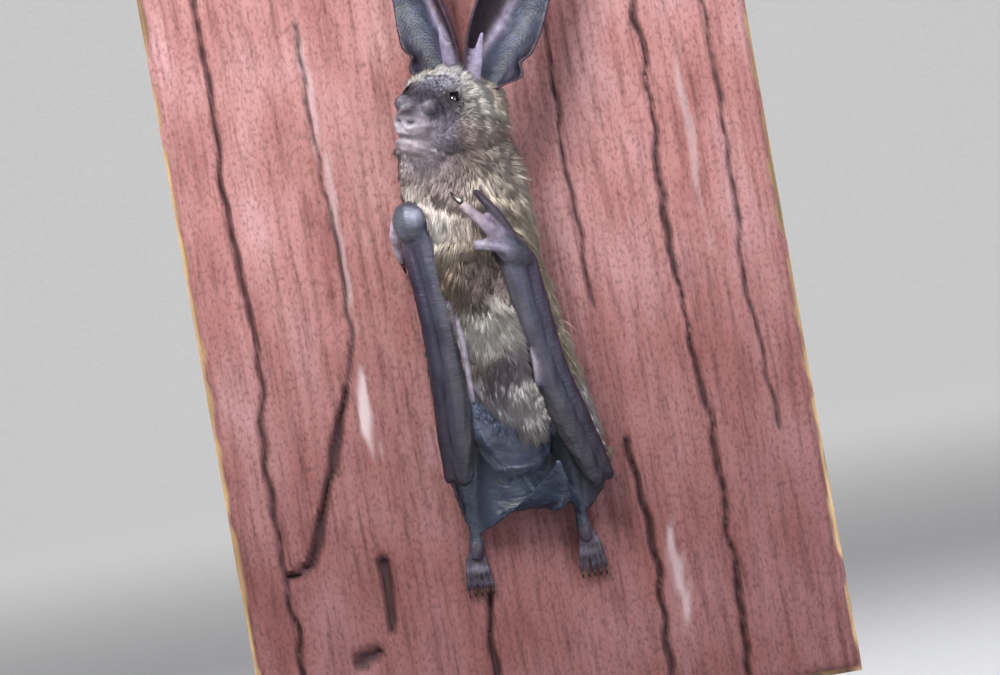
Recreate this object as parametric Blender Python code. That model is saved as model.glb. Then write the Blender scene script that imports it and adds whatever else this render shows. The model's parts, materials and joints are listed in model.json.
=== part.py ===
"""A brown big-eared bat, life size, clinging head-up to a length of painted board on a plain stand.

Lengths in the tables are millimetres. The bat's own frame has X towards the viewer's right, Y into the
board, whose front face is Y = 0, and Z up from the level of its waist. Left and right in the names are the
bat's own.
"""

import math

import bmesh
import bpy
from mathutils import Vector

MM = 0.001
GAP = 0.3  # clearance between neighbouring solids

# Stand and board
BASE_SIZE = (160.0, 100.0, 10.0)
BASE_CORNER = 12.0
BASE_CHAMFER = 1.2
ROD_RADIUS = 3.0
ROD_SPACING = 54.0
ROD_HEIGHT = 30.0
COLLAR_RADIUS = 6.0
COLLAR_HEIGHT = 4.0
BOARD_SIZE = (89.0, 19.0, 140.0)
BOARD_CHAMFER = 1.2
BOARD_BELOW_WAIST = 58.0

BOARD_BOTTOM = BASE_SIZE[2] + ROD_HEIGHT
WAIST_HEIGHT = BOARD_BOTTOM + BOARD_BELOW_WAIST
BODY_AXIS_X = -0.7
NECK_CUT = 21.5  # height at which the neck ends and the trunk begins

# Head: where its middle lies, and how it is turned
HEAD_CENTRE = Vector((-2.2, -11.6, 32.9))
HEAD_YAW = math.radians(32.0)  # face turned to the viewer's left
HEAD_PITCH = math.radians(5.0)
HEAD_ROLL = math.radians(18.0)  # crown leaning to the viewer's right
HEAD_SCALE = 1.05
EYE_RADIUS = 0.85
EYE_PLACE = (4.2, 3.4, 3.0)  # forward, out to each side, up, from the head's middle

# Folded wings: the forearm runs from wrist to elbow, with the folded fingers along its outer side
WRIST = {"right": Vector((-9.6, -13.0, 17.6)), "left": Vector((4.8, -16.3, 10.4))}
ELBOW = {"right": Vector((-9.6, -9.8, -18.9)), "left": Vector((11.0, -7.6, -22.4))}
SHOULDER = {"right": Vector((-6.8, -8.6, 13.0)), "left": Vector((5.4, -8.8, 12.0))}
FOREARM_HALF = (1.9, 1.95, 1.85, 2.1, 1.5)
FINGERS_HALF = (1.3, 1.45, 1.3, 1.5, 0.9)
WING_DOME = 1.25  # how pointed the two ends are
WING_BOW = (1.3, 1.0)  # how far the middle of the folded wing lies inwards and forwards of its ends
FOREARM_INWARD = 0.9
FINGERS_OUTWARD = 1.25
FINGERS_BACK = 0.8

# Legs and tail
KNEE_HALF_SPREAD = 7.3
KNEE = (-3.8, -12.0)  # Y and Z
ANKLE_HALF_SPREAD = 7.9
ANKLE = (-2.1, -28.6)
TOE_COUNT = 5
TOE_PITCH = 0.6
TOE_FAN = 0.13
MEMBRANE_THICKNESS = 0.55
EAR_THICKNESS = 0.6

DOME_RING = 0.72  # how far up a limb's domed end its one ring lies
OUTWARD = {"right": -1.0, "left": 1.0}
ACROSS = Vector((1.0, 0.0, 0.0))


def clear_scene():
    for obj in list(bpy.data.objects):
        bpy.data.objects.remove(obj, do_unlink=True)


def head_axes():
    """Forward, the bat's left, and up, of the turned head."""
    forward = Vector(
        (
            -math.sin(HEAD_YAW) * math.cos(HEAD_PITCH),
            -math.cos(HEAD_YAW) * math.cos(HEAD_PITCH),
            math.sin(HEAD_PITCH),
        )
    )
    level_left = Vector((0.0, 0.0, 1.0)).cross(forward).normalized()
    level_up = forward.cross(level_left)
    up = level_up * math.cos(HEAD_ROLL) + level_left * math.sin(HEAD_ROLL)
    left = level_left * math.cos(HEAD_ROLL) - level_up * math.sin(HEAD_ROLL)
    return forward, left, up


HEAD_FORWARD, HEAD_LEFT, HEAD_UP = head_axes()


def in_head(forward, left, up):
    """A point of the bat's frame from its place on the head."""
    offset = HEAD_FORWARD * forward + HEAD_LEFT * left + HEAD_UP * up
    return HEAD_CENTRE + offset * HEAD_SCALE


def head_row(forward, up, half_width, half_height, left=0.0):
    """A cross-section row of something on the head."""
    return (*in_head(forward, left, up), half_width * HEAD_SCALE, half_height * HEAD_SCALE)


def through(rows, place):
    """The smooth curve through equally spaced rows of numbers, at place 0 to 1."""
    span = min(place, 1.0) * (len(rows) - 1)
    index = min(int(span), len(rows) - 2)
    t = span - index
    before = rows[max(index - 1, 0)]
    start = rows[index]
    end = rows[index + 1]
    after = rows[min(index + 2, len(rows) - 1)]
    return [
        0.5 * (2 * b + (c - a) * t + (2 * a - 5 * b + 4 * c - d) * t * t + (3 * b - a - 3 * c + d) * t ** 3)
        for a, b, c, d in zip(before, start, end, after)
    ]


def loft(rows, rings=9, sides=14, across=ACROSS, dome=0.7, grow=0.0):
    """A closed limb through rows of (x, y, z, half-width, half-depth), with domed ends, grown on every side."""
    samples = [through(rows, i / (rings - 1)) for i in range(rings)]
    centres = [Vector(sample[:3]) for sample in samples]
    halves = [(abs(sample[3]) + grow, abs(sample[4]) + grow) for sample in samples]
    table = [(centre, *half) for centre, half in zip(centres, halves)]
    tips = []
    for end, inner in ((0, 1), (-1, -2)):
        reach = (centres[end] - centres[inner]).normalized() * (dome * min(halves[end]) + grow * (1.0 - dome))
        tips.append(centres[end] + reach)
        ring = (centres[end] + reach * DOME_RING, *(half * math.sqrt(1 - DOME_RING**2) for half in halves[end]))
        table.insert(0 if end == 0 else len(table), ring)
    mesh = bmesh.new()
    loops = []
    for index, (centre, half_width, half_depth) in enumerate(table):
        ahead = table[min(index + 1, len(table) - 1)][0] - table[max(index - 1, 0)][0]
        tangent = ahead.normalized()
        side = (across - tangent * across.dot(tangent)).normalized()
        depth = tangent.cross(side)
        loop = []
        for k in range(sides):
            angle = math.tau * k / sides
            spoke = side * half_width * math.cos(angle) + depth * half_depth * math.sin(angle)
            loop.append(mesh.verts.new(centre + spoke))
        loops.append(loop)
    for low, high in zip(loops, loops[1:]):
        for k in range(sides):
            mesh.faces.new((low[k], low[(k + 1) % sides], high[(k + 1) % sides], high[k]))
    for tip, loop in ((tips[0], loops[0]), (tips[1], loops[-1])):
        pole = mesh.verts.new(tip)
        for k in range(sides):
            mesh.faces.new((loop[k], loop[(k + 1) % sides], pole))
    bmesh.ops.recalc_face_normals(mesh, faces=mesh.faces)
    return mesh


def ball(centre, radii, axes=None, grow=0.0, sides=12):
    """A closed ellipsoid with its radii along the given axes."""
    axes = axes or (Vector((1, 0, 0)), Vector((0, 1, 0)), Vector((0, 0, 1)))
    mesh = bmesh.new()
    bmesh.ops.create_uvsphere(mesh, u_segments=sides, v_segments=sides // 2 + 1, radius=1.0)
    for vert in mesh.verts:
        place = vert.co.copy()
        vert.co = centre.copy()
        for axis, radius, share in zip(axes, radii, place):
            vert.co += axis * (radius + grow) * share
    bmesh.ops.recalc_face_normals(mesh, faces=mesh.faces)
    return mesh


def sheet(surface, columns, rows, thickness, grow=0.0):
    """A closed slab on both sides of surface(u, v), for u and v from 0 to 1."""
    step = 1e-3
    mesh = bmesh.new()
    faces_of = []
    for side in (-1.0, 1.0):
        grid = []
        for i in range(columns + 1):
            line = []
            for j in range(rows + 1):
                u, v = i / columns, j / rows
                here = surface(u, v)
                du = surface(min(u + step, 1.0), v) - surface(max(u - step, 0.0), v)
                dv = surface(u, min(v + step, 1.0)) - surface(u, max(v - step, 0.0))
                normal = du.cross(dv).normalized()
                line.append(mesh.verts.new(here + normal * side * (thickness / 2 + grow)))
            grid.append(line)
        faces_of.append(grid)
    low, high = faces_of
    for grid in faces_of:
        for i in range(columns):
            for j in range(rows):
                mesh.faces.new((grid[i][j], grid[i + 1][j], grid[i + 1][j + 1], grid[i][j + 1]))
    for i in range(columns):
        for j in (0, rows):
            mesh.faces.new((low[i][j], low[i + 1][j], high[i + 1][j], high[i][j]))
    for j in range(rows):
        for i in (0, columns):
            mesh.faces.new((low[i][j], low[i][j + 1], high[i][j + 1], high[i][j]))
    bmesh.ops.recalc_face_normals(mesh, faces=mesh.faces)
    return mesh


# ------------------------------------------------------------ shapes of the bat, as functions of their growth


def neck(grow=0.0):
    """The neck's own form runs on down through chest and belly, and the trunk is the part below NECK_CUT."""
    rows = [
        (-2.1, -10.4, 30.5, 8.2, 6.6),
        (-1.8, -9.3, 24.0, 9.1, 6.8),
        (-1.1, -8.7, 16.5, 9.0, 7.6),
        (-0.7, -8.8, 9.0, 8.5, 8.1),
        (-0.7, -8.3, 0.5, 8.0, 7.6),
        (-0.6, -7.5, -7.5, 7.5, 6.8),
        (-0.6, -6.4, -13.5, 6.6, 5.6),
        (-0.5, -5.4, -17.6, 5.0, 3.9),
    ]
    return loft(rows, rings=11, sides=16, grow=grow)


def trunk(grow=0.0):
    mesh = bmesh.new()
    bmesh.ops.create_cube(mesh, size=60.0)
    bmesh.ops.translate(mesh, verts=mesh.verts, vec=(0.0, 0.0, 30.0 + NECK_CUT + grow))
    return combined(neck(grow), mesh, "DIFFERENCE")


def head(grow=0.0):
    rows = [
        head_row(-6.6, -0.9, 5.4, 4.8),
        head_row(-3.4, -0.1, 7.8, 6.8),
        head_row(-0.4, 0.0, 8.0, 6.9),
        head_row(2.6, -0.2, 6.9, 6.0),
        head_row(5.0, -0.5, 5.1, 4.8),
        head_row(6.6, -0.8, 3.9, 3.9),
    ]
    return loft(rows, rings=9, sides=16, across=HEAD_LEFT, dome=0.5, grow=grow)


def snout(grow=0.0):
    """The muzzle, with the swelling that this bat has on each side of it behind the nostrils."""
    rows = [
        head_row(3.4, -0.6, 4.5, 3.7),
        head_row(6.0, -0.6, 3.9, 3.1),
        head_row(8.2, -0.8, 3.2, 2.4),
        head_row(9.9, -1.1, 2.2, 1.7),
    ]
    mesh = loft(rows, rings=6, sides=12, across=HEAD_LEFT, dome=0.6, grow=grow)
    axes = (HEAD_FORWARD, HEAD_LEFT, HEAD_UP)
    for side in (-1.0, 1.0):
        lump = ball(in_head(7.0, 2.4 * side, 1.5), (2.4, 1.4, 1.5), axes, grow, 8)
        mesh = joined(mesh, lump)
    return mesh


def lower_jaw(grow=0.0):
    rows = [head_row(2.6, -4.8, 3.5, 1.7), head_row(6.0, -4.4, 3.0, 1.5), head_row(9.1, -4.0, 1.9, 1.15)]
    return loft(rows, rings=5, sides=10, across=HEAD_LEFT, dome=0.7, grow=grow)


def eye(side):
    forward, out, up = EYE_PLACE
    centre = in_head(forward, out * OUTWARD[side], up)
    return lambda grow=0.0: ball(centre, (EYE_RADIUS,) * 3, grow=grow, sides=8)


EAR_ROOT = {"right": (-2.65, -2.6, 4.95), "left": (-2.65, 4.6, 4.95)}
# Degrees that each ear leans from upright to the viewer's right, and that its root opens to the viewer's left
EAR_LEAN = {"right": math.radians(-3.0), "left": math.radians(21.0)}
EAR_OPENS = {"right": math.radians(22.0), "left": math.radians(8.0)}
EAR_TWIST = math.radians(33.0)  # how far the blade then turns outwards
EAR_TWIST_OVER = 0.4  # the share of its length over which it turns
EAR_LENGTH = 30.9
TRAGUS_LENGTH = 7.6
TRAGUS_INWARD = 2.1


def ear_frame(side, place=0.0):
    """Root, the way up the ear, the way it opens, and the way to its outer margin, at a place along it."""
    root = in_head(*EAR_ROOT[side])
    lean = EAR_LEAN[side]
    opens = EAR_OPENS[side] - OUTWARD[side] * EAR_TWIST * min(place / EAR_TWIST_OVER, 1.0)
    up = Vector((math.sin(lean), 0.0, math.cos(lean)))
    opening = Vector((-math.sin(opens), -math.cos(opens), 0.0))
    opening = (opening - up * opening.dot(up)).normalized()
    outer = opening.cross(up) * -OUTWARD[side]
    return root, up, opening, outer


def ear(side):
    # From root to tip: half the width when laid flat, and half the curl in radians
    halves = [(4.9,), (6.2,), (6.9,), (7.0,), (6.4,), (5.2,), (3.4,), (0.7,)]
    curls = [(1.35,), (1.3,), (1.2,), (1.1,), (1.0,), (0.95,), (0.9,), (0.85,)]

    def surface(u, v):
        root, up, opening, outer = ear_frame(side, v)
        half = through(halves, v)[0]
        curl = through(curls, v)[0]
        radius = half / curl
        angle = (2 * u - 1) * curl
        tip_bend = Vector((0.0, 1.0, 0.0)) * 1.2 * v * v + outer * 1.5 * v * v
        middle = root + up * EAR_LENGTH * v + tip_bend
        cupped = opening * (math.cos(curl * 0.6) - math.cos(angle))
        return middle + (outer * math.sin(angle) + cupped) * radius

    return lambda grow=0.0: sheet(surface, 6, 10, EAR_THICKNESS, grow)


def tragus(side):
    root, up, opening, outer = ear_frame(side)
    start = root + opening * 2.2 - outer * TRAGUS_INWARD
    halves = ((1.25, 0.42), (1.05, 0.4), (0.75, 0.36), (0.35, 0.3))
    rows = []
    for i, half in enumerate(halves):
        share = i / (len(halves) - 1)
        rows.append((*(start + up * TRAGUS_LENGTH * share + opening * 0.9 * share), *half))
    return lambda grow=0.0: loft(rows, rings=7, sides=8, across=outer, dome=0.9, grow=grow)


def wing_line(side, outward, back, halves):
    """Rows along the folded wing, from wrist to elbow, moved outwards and back towards the board."""
    shift = Vector((OUTWARD[side] * outward, back, 0.0))
    bow = Vector((-OUTWARD[side] * WING_BOW[0], -WING_BOW[1], 0.0))
    rows = []
    for i, half in enumerate(halves):
        place = i / (len(halves) - 1)
        centre = WRIST[side].lerp(ELBOW[side], place) + shift + bow * math.sin(math.pi * place)
        rows.append((*centre, half, half * 1.05))
    return rows


def forearm(side):
    rows = wing_line(side, -FOREARM_INWARD, 0.0, FOREARM_HALF)
    return lambda grow=0.0: loft(rows, rings=8, sides=10, grow=grow, dome=WING_DOME)


def folded_fingers(side):
    rows = wing_line(side, FINGERS_OUTWARD, FINGERS_BACK, FINGERS_HALF)
    return lambda grow=0.0: loft(rows, rings=8, sides=10, grow=grow, dome=WING_DOME)


HAND_ROWS = {
    "right": [(-10.0, -13.2, 20.2, 2.5, 2.2), (-9.9, -13.2, 18.8, 2.8, 2.4), (-9.7, -13.0, 17.0, 2.5, 2.2)],
    "left": [(2.5, -17.9, 14.0, 1.7, 1.6), (3.6, -17.2, 12.6, 2.3, 2.1), (4.7, -16.5, 10.8, 2.2, 2.0)],
}
THUMB_ROWS = {
    "right": [
        (-11.4, -12.4, 19.9, 1.2, 1.15),
        (-12.5, -9.0, 17.4, 1.0, 0.95),
        (-12.5, -5.4, 14.9, 0.8, 0.8),
        (-12.3, -3.4, 13.6, 0.62, 0.62),
    ],
    "left": [
        (2.4, -18.6, 14.4, 1.25, 1.1),
        (0.9, -19.1, 16.4, 1.05, 1.0),
        (-0.7, -19.1, 18.3, 0.85, 0.8),
        (-1.9, -18.9, 19.8, 0.8, 0.75),
    ],
}
THUMB_CLAW_ROWS = {
    "right": [(-12.3, -3.0, 13.4, 0.45, 0.5), (-12.2, -1.7, 12.9, 0.36, 0.42), (-12.1, -0.7, 11.8, 0.12, 0.14)],
    "left": [(-2.2, -18.8, 20.3, 0.42, 0.46), (-3.0, -18.4, 21.2, 0.32, 0.36), (-3.4, -17.7, 22.0, 0.12, 0.14)],
}
# The near hand's second finger lies across the chest, and the last joint of each fifth finger down the belly.
SECOND_FINGER_ROWS = [(3.4, -18.6, 12.4, 0.95, 0.9), (1.2, -18.6, 13.2, 0.8, 0.8), (-0.9, -18.0, 13.8, 0.95, 0.9)]
FIFTH_FINGER_ROWS = {
    "right": [(-5.6, -14.9, 8.2, 0.45, 0.45), (-5.5, -15.3, 0.0, 0.6, 0.5), (-5.4, -15.0, -8.8, 0.42, 0.4)],
    "left": [(4.1, -16.6, 5.6, 0.45, 0.45), (4.4, -15.6, -1.0, 0.6, 0.5), (4.3, -14.6, -8.0, 0.42, 0.4)],
}
FRONT_MEMBRANE_ROWS = [(0.2, -18.0, 21.4, 0.5, 1.1), (2.7, -18.3, 17.6, 0.8, 1.1), (5.0, -17.4, 12.8, 0.7, 1.1)]


def rows_loft(rows, rings, sides, across=ACROSS, dome=0.8):
    return lambda grow=0.0: loft(rows, rings=rings, sides=sides, across=across, dome=dome, grow=grow)


def upper_arm(side):
    shoulder, elbow = SHOULDER[side], ELBOW[side] + Vector((0.0, 2.2, 3.0))
    rows = [(*shoulder, 2.5, 2.7), (*shoulder.lerp(elbow, 0.5), 2.3, 2.6), (*elbow, 1.9, 2.1)]
    return lambda grow=0.0: loft(rows, rings=5, sides=9, grow=grow)


def knee(side):
    return Vector((BODY_AXIS_X + OUTWARD[side] * KNEE_HALF_SPREAD, *KNEE))


def ankle(side):
    return Vector((BODY_AXIS_X + OUTWARD[side] * ANKLE_HALF_SPREAD, *ANKLE))


def thigh(side):
    hip = Vector((BODY_AXIS_X + OUTWARD[side] * 2.6, -6.4, -12.6))
    rows = [(*hip, 2.7, 2.7), (*hip.lerp(knee(side), 0.55), 2.3, 2.3), (*knee(side), 1.6, 1.6)]
    return lambda grow=0.0: loft(rows, rings=5, sides=11, across=Vector((0, 0, 1)), grow=grow)


def shin_point(side, place):
    bow = Vector((OUTWARD[side] * 0.3, -0.5, 0.0)) * math.sin(math.pi * place)
    return knee(side).lerp(ankle(side), place) + bow


def shin(side):
    halves = ((0.06, 1.45), (0.35, 1.35), (0.68, 1.0), (1.0, 0.85))
    rows = [(*shin_point(side, place), half, half) for place, half in halves]
    return lambda grow=0.0: loft(rows, rings=7, sides=10, grow=grow)


def foot(side):
    """The sole, five toes of equal length and their claws, which hook back to the board."""

    def shape(grow=0.0):
        outward = OUTWARD[side]
        heel = ankle(side)
        rows = [
            (heel.x, heel.y, heel.z - 0.5, 0.95, 0.85),
            (heel.x + outward * 0.3, heel.y + 0.2, heel.z - 2.4, 1.35, 0.85),
            (heel.x + outward * 0.6, heel.y + 0.4, heel.z - 4.4, 1.9, 0.72),
        ]
        mesh = loft(rows, rings=5, sides=12, grow=grow, dome=0.6)
        for i in range(TOE_COUNT):
            place = i - (TOE_COUNT - 1) / 2
            x = heel.x + outward * 0.6 + place * TOE_PITCH
            spread = place * TOE_FAN
            toe = [
                (x, heel.y + 0.4, heel.z - 4.2, 0.45, 0.5),
                (x + spread, heel.y + 0.3, heel.z - 5.8, 0.4, 0.48),
                (x + spread * 1.7, heel.y + 0.7, heel.z - 7.3, 0.36, 0.42),
                (x + spread * 1.9, heel.y + 1.15, heel.z - 8.1, 0.24, 0.26),
                (x + spread * 2.0, heel.y + 1.55, heel.z - 8.9, 0.1, 0.12),
            ]
            mesh = joined(mesh, loft(toe, rings=4, sides=5, grow=grow, dome=0.5))
        return mesh

    return shape


TAIL_ROWS = [
    (-0.5, -6.0, -14.6, 1.5, 1.4),
    (0.0, -4.9, -19.6, 1.05, 1.0),
    (1.5, -4.8, -24.2, 0.85, 0.85),
    (4.0, -6.4, -26.1, 0.75, 0.75),
    (5.8, -9.3, -24.0, 0.65, 0.65),
    (5.3, -12.1, -19.4, 0.5, 0.5),
]


TAIL_CURL_AXIS = Vector((0.78, 0.55, 0.3))  # square to the plane in which the tail curls


def tail_point(place):
    return Vector(through(TAIL_ROWS, place)[:3])


def tail_membrane(side):
    """The half of the tail membrane from one shin to the curled tail, with the slack of a loose sheet."""

    def surface(u, v):
        leg = shin_point(side, 0.1 + 0.9 * v)
        tail = tail_point(v)
        slack = Vector((0.0, 0.5, -0.9)) * math.sin(math.pi * u) * (0.3 + 0.7 * v)
        return leg.lerp(tail, u) + slack

    return lambda grow=0.0: sheet(surface, 5, 9, MEMBRANE_THICKNESS, grow)


def wing_membrane(side):
    """The gathered wing membrane, from the folded fingers to the flank, and down the shin to the ankle."""
    outward = OUTWARD[side]
    elbow, heel = ELBOW[side], ankle(side)
    outer = [
        tuple(WRIST[side].lerp(elbow, 0.06) + Vector((outward * 1.2, 3.5, 0.0))),
        tuple(WRIST[side].lerp(elbow, 0.55) + Vector((outward * 1.5, 3.0, 0.0))),
        tuple(elbow + Vector((outward * 1.2, 3.2, 0.5))),
        (heel.x + outward * 0.7, heel.y - 0.4, heel.z + 0.8),
    ]
    inner = [
        tuple(WRIST[side].lerp(elbow, 0.08) + Vector((outward * 0.6, 4.4, 0.0))),
        (BODY_AXIS_X + outward * 7.2, -2.6, -2.0),
        (BODY_AXIS_X + outward * 7.4, -2.4, -15.0),
        (heel.x, heel.y + 0.1, heel.z + 0.4),
    ]

    def surface(u, v):
        pleat = 0.45 * math.sin(3 * math.pi * u) * (1.0 - 0.6 * v)
        across = Vector(through(outer, v)).lerp(Vector(through(inner, v)), u)
        return across + Vector((outward * pleat, 0.0, 0.0))

    return lambda grow=0.0: sheet(surface, 5, 8, MEMBRANE_THICKNESS, grow)


def board(grow=0.0):
    width, depth, height = BOARD_SIZE
    mesh = bmesh.new()
    bmesh.ops.create_cube(mesh, size=1.0)
    for vert in mesh.verts:
        vert.co = Vector(
            (
                vert.co.x * (width + 2 * grow),
                vert.co.y * (depth + 2 * grow) + depth / 2,
                vert.co.z * (height + 2 * grow) + height / 2 - BOARD_BELOW_WAIST,
            )
        )
    if not grow:
        edges = mesh.edges[:]
        bmesh.ops.bevel(mesh, geom=edges, offset=BOARD_CHAMFER, segments=1, affect="EDGES", profile=0.5)
    bmesh.ops.recalc_face_normals(mesh, faces=mesh.faces)
    return mesh


# ---------------------------------------------------------------- making and cutting


def temporary(mesh):
    data = bpy.data.meshes.new("temporary")
    mesh.to_mesh(data)
    obj = bpy.data.objects.new("temporary", data)
    bpy.context.scene.collection.objects.link(obj)
    return obj


def combined(mesh, other, operation):
    """The Boolean of two closed meshes, as a new mesh."""
    first, second = temporary(mesh), temporary(other)
    boolean = first.modifiers.new("boolean", "BOOLEAN")
    boolean.operation = operation
    boolean.object = second
    boolean.solver = "MANIFOLD"  # keeps thin sheets closed where they graze a limb
    bpy.context.view_layer.update()
    evaluated = first.evaluated_get(bpy.context.evaluated_depsgraph_get())
    result = bmesh.new()
    result.from_mesh(evaluated.to_mesh())
    evaluated.to_mesh_clear()
    for obj in (first, second):
        data = obj.data
        bpy.data.objects.remove(obj, do_unlink=True)
        bpy.data.meshes.remove(data)
    mesh.free()
    other.free()
    return result


def joined(mesh, other):
    return combined(mesh, other, "UNION")


def largest_body(mesh):
    """Leaves only the largest of the bodies that a cut has made."""
    left = set(mesh.faces)
    bodies = []
    while left:
        stack = [left.pop()]
        body = list(stack)
        while stack:
            for edge in stack.pop().edges:
                for face in edge.link_faces:
                    if face in left:
                        left.remove(face)
                        stack.append(face)
                        body.append(face)
        bodies.append(body)
    bodies.sort(key=lambda body: sum(face.calc_area() for face in body))
    stray = [face for body in bodies[:-1] for face in body]
    bmesh.ops.delete(mesh, geom=stray, context="FACES")


def paint(name, colour, roughness, metallic=0.0):
    material = bpy.data.materials.get(name) or bpy.data.materials.new(name)
    material.use_nodes = True
    shader = material.node_tree.nodes["Principled BSDF"]
    shader.inputs["Base Color"].default_value = (*colour, 1.0)
    shader.inputs["Roughness"].default_value = roughness
    shader.inputs["Metallic"].default_value = metallic
    material.diffuse_color = (*colour, 1.0)
    return material


def place(name, mesh, material, lift):
    """Makes the node, in metres, lifted from the shape's own frame to its height above the floor."""
    bmesh.ops.remove_doubles(mesh, verts=mesh.verts, dist=0.0005)
    for vert in mesh.verts:
        vert.co = (vert.co + Vector((0.0, 0.0, lift))) * MM
    data = bpy.data.meshes.new(name)
    mesh.to_mesh(data)
    mesh.free()
    data.materials.append(material)
    data.shade_smooth()
    data.set_sharp_from_angle(angle=math.radians(40.0))
    obj = bpy.data.objects.new(name, data)
    bpy.context.scene.collection.objects.link(obj)


def touches(first, second):
    """Whether the boxes of two meshes meet."""
    for axis in range(3):
        a = [vert.co[axis] for vert in first.verts]
        b = [vert.co[axis] for vert in second.verts]
        if max(a) < min(b) or max(b) < min(a):
            return False
    return True


def bat_parts():
    """Every sub-part's name, material and shape, the ones that keep their whole form first."""
    fur = paint("coat", (0.36, 0.27, 0.19), 0.9)
    bare = paint("wing_skin", (0.05, 0.045, 0.065), 0.5)
    pale = paint("thumb_skin", (0.3, 0.25, 0.29), 0.5)
    face = paint("muzzle_skin", (0.3, 0.26, 0.3), 0.45)
    horn = paint("claw", (0.02, 0.018, 0.016), 0.35)
    black = paint("eye", (0.004, 0.004, 0.005), 0.08)
    parts = []
    for side in ("right", "left"):
        parts.append((f"eye_{side}", black, eye(side)))
    parts += [("head", fur, head), ("muzzle", face, snout), ("lower_jaw", face, lower_jaw)]
    for side in ("right", "left"):
        parts += [
            (f"tragus_{side}", pale, tragus(side)),
            (f"ear_{side}", bare, ear(side)),
            (f"thumb_claw_{side}", horn, rows_loft(THUMB_CLAW_ROWS[side], 5, 6, dome=0.6)),
            (f"hand_{side}", bare, rows_loft(HAND_ROWS[side], 4, 10)),
            (f"thumb_{side}", pale, rows_loft(THUMB_ROWS[side], 6, 8)),
            (f"forearm_{side}", bare, forearm(side)),
            (f"folded_fingers_{side}", bare, folded_fingers(side)),
            (f"fifth_finger_{side}", pale, rows_loft(FIFTH_FINGER_ROWS[side], 6, 6)),
        ]
    parts += [
        ("second_finger_left", pale, rows_loft(SECOND_FINGER_ROWS, 5, 8, across=Vector((0, 0, 1)))),
        ("front_membrane_left", bare, rows_loft(FRONT_MEMBRANE_ROWS, 6, 8)),
    ]
    for side in ("right", "left"):
        parts.append((f"upper_arm_{side}", fur, upper_arm(side)))
    parts += [("trunk", fur, trunk), ("neck", fur, neck)]
    for side in ("right", "left"):
        parts += [
            (f"thigh_{side}", fur, thigh(side)),
            (f"shin_{side}", bare, shin(side)),
            (f"foot_{side}", pale, foot(side)),
        ]
    parts.append(("tail", bare, rows_loft(TAIL_ROWS, 10, 7, across=TAIL_CURL_AXIS)))
    for side in ("right", "left"):
        parts.append((f"tail_membrane_{side}", bare, tail_membrane(side)))
        parts.append((f"wing_membrane_{side}", bare, wing_membrane(side)))
    return parts


def build_bat():
    """Makes the sub-parts in turn. Each is cut back from the board and from all that were made before it."""
    made = []
    for name, material, shape in bat_parts():
        mesh = shape()
        for other in [board] + made:
            cutter = other(grow=GAP)
            if touches(mesh, cutter):
                mesh = combined(mesh, cutter, "DIFFERENCE")
        largest_body(mesh)
        made.append(shape)
        place(name, mesh, material, WAIST_HEIGHT)


def build_board():
    place("perch_board", board(), paint("red_barn_paint", (0.52, 0.26, 0.24), 0.75), WAIST_HEIGHT)


def build_base():
    width, depth, height = BASE_SIZE
    mesh = bmesh.new()
    corner_steps = 4
    outline = []
    for quarter, (sx, sy) in enumerate(((1, 1), (-1, 1), (-1, -1), (1, -1))):
        for step in range(corner_steps + 1):
            angle = math.pi / 2 * (quarter + step / corner_steps)
            centre = Vector((sx * (width / 2 - BASE_CORNER), sy * (depth / 2 - BASE_CORNER), 0.0))
            spoke = Vector((math.cos(angle), math.sin(angle), 0.0)) * BASE_CORNER
            outline.append(mesh.verts.new(centre + spoke))
    bottom = mesh.faces.new(outline)
    extruded = bmesh.ops.extrude_face_region(mesh, geom=[bottom])
    top = [item for item in extruded["geom"] if isinstance(item, bmesh.types.BMVert)]
    bmesh.ops.translate(mesh, verts=top, vec=(0.0, 0.0, height))
    bmesh.ops.recalc_face_normals(mesh, faces=mesh.faces)
    rim = [edge for edge in mesh.edges if all(vert.co.z > height / 2 for vert in edge.verts)]
    bmesh.ops.bevel(mesh, geom=rim, offset=BASE_CHAMFER, segments=1, affect="EDGES", profile=0.5)
    place("stand_base", mesh, paint("satin_black_wood", (0.03, 0.03, 0.03), 0.4), 0.0)


def build_rods():
    """Two steel rods, each turned with a collar at its foot and a smaller one under the board."""
    height = ROD_HEIGHT - 2 * GAP
    small = COLLAR_RADIUS * 0.8
    profile = [
        (0.0, 0.0),
        (COLLAR_RADIUS, 0.0),
        (COLLAR_RADIUS, COLLAR_HEIGHT - 1.0),
        (COLLAR_RADIUS - 1.0, COLLAR_HEIGHT),
        (ROD_RADIUS, COLLAR_HEIGHT),
        (ROD_RADIUS, height - 2.5),
        (small, height - 2.0),
        (small, height),
        (0.0, height),
    ]
    steel = paint("brushed_steel", (0.55, 0.55, 0.56), 0.3, 1.0)
    for name, side in (("stand_rod_right", -1.0), ("stand_rod_left", 1.0)):
        mesh = bmesh.new()
        verts = [mesh.verts.new((radius, 0.0, z)) for radius, z in profile]
        edges = [mesh.edges.new(pair) for pair in zip(verts, verts[1:])]
        line = verts + edges
        bmesh.ops.spin(mesh, geom=line, axis=(0, 0, 1), cent=(0, 0, 0), angle=math.tau, steps=14, use_merge=True)
        bmesh.ops.remove_doubles(mesh, verts=mesh.verts, dist=0.01)
        bmesh.ops.recalc_face_normals(mesh, faces=mesh.faces)
        foot_centre = (side * ROD_SPACING / 2, BOARD_SIZE[1] / 2, BASE_SIZE[2] + GAP)
        bmesh.ops.translate(mesh, verts=mesh.verts, vec=foot_centre)
        place(name, mesh, steel, 0.0)


clear_scene()
build_base()
build_rods()
build_board()
build_bat()
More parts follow.
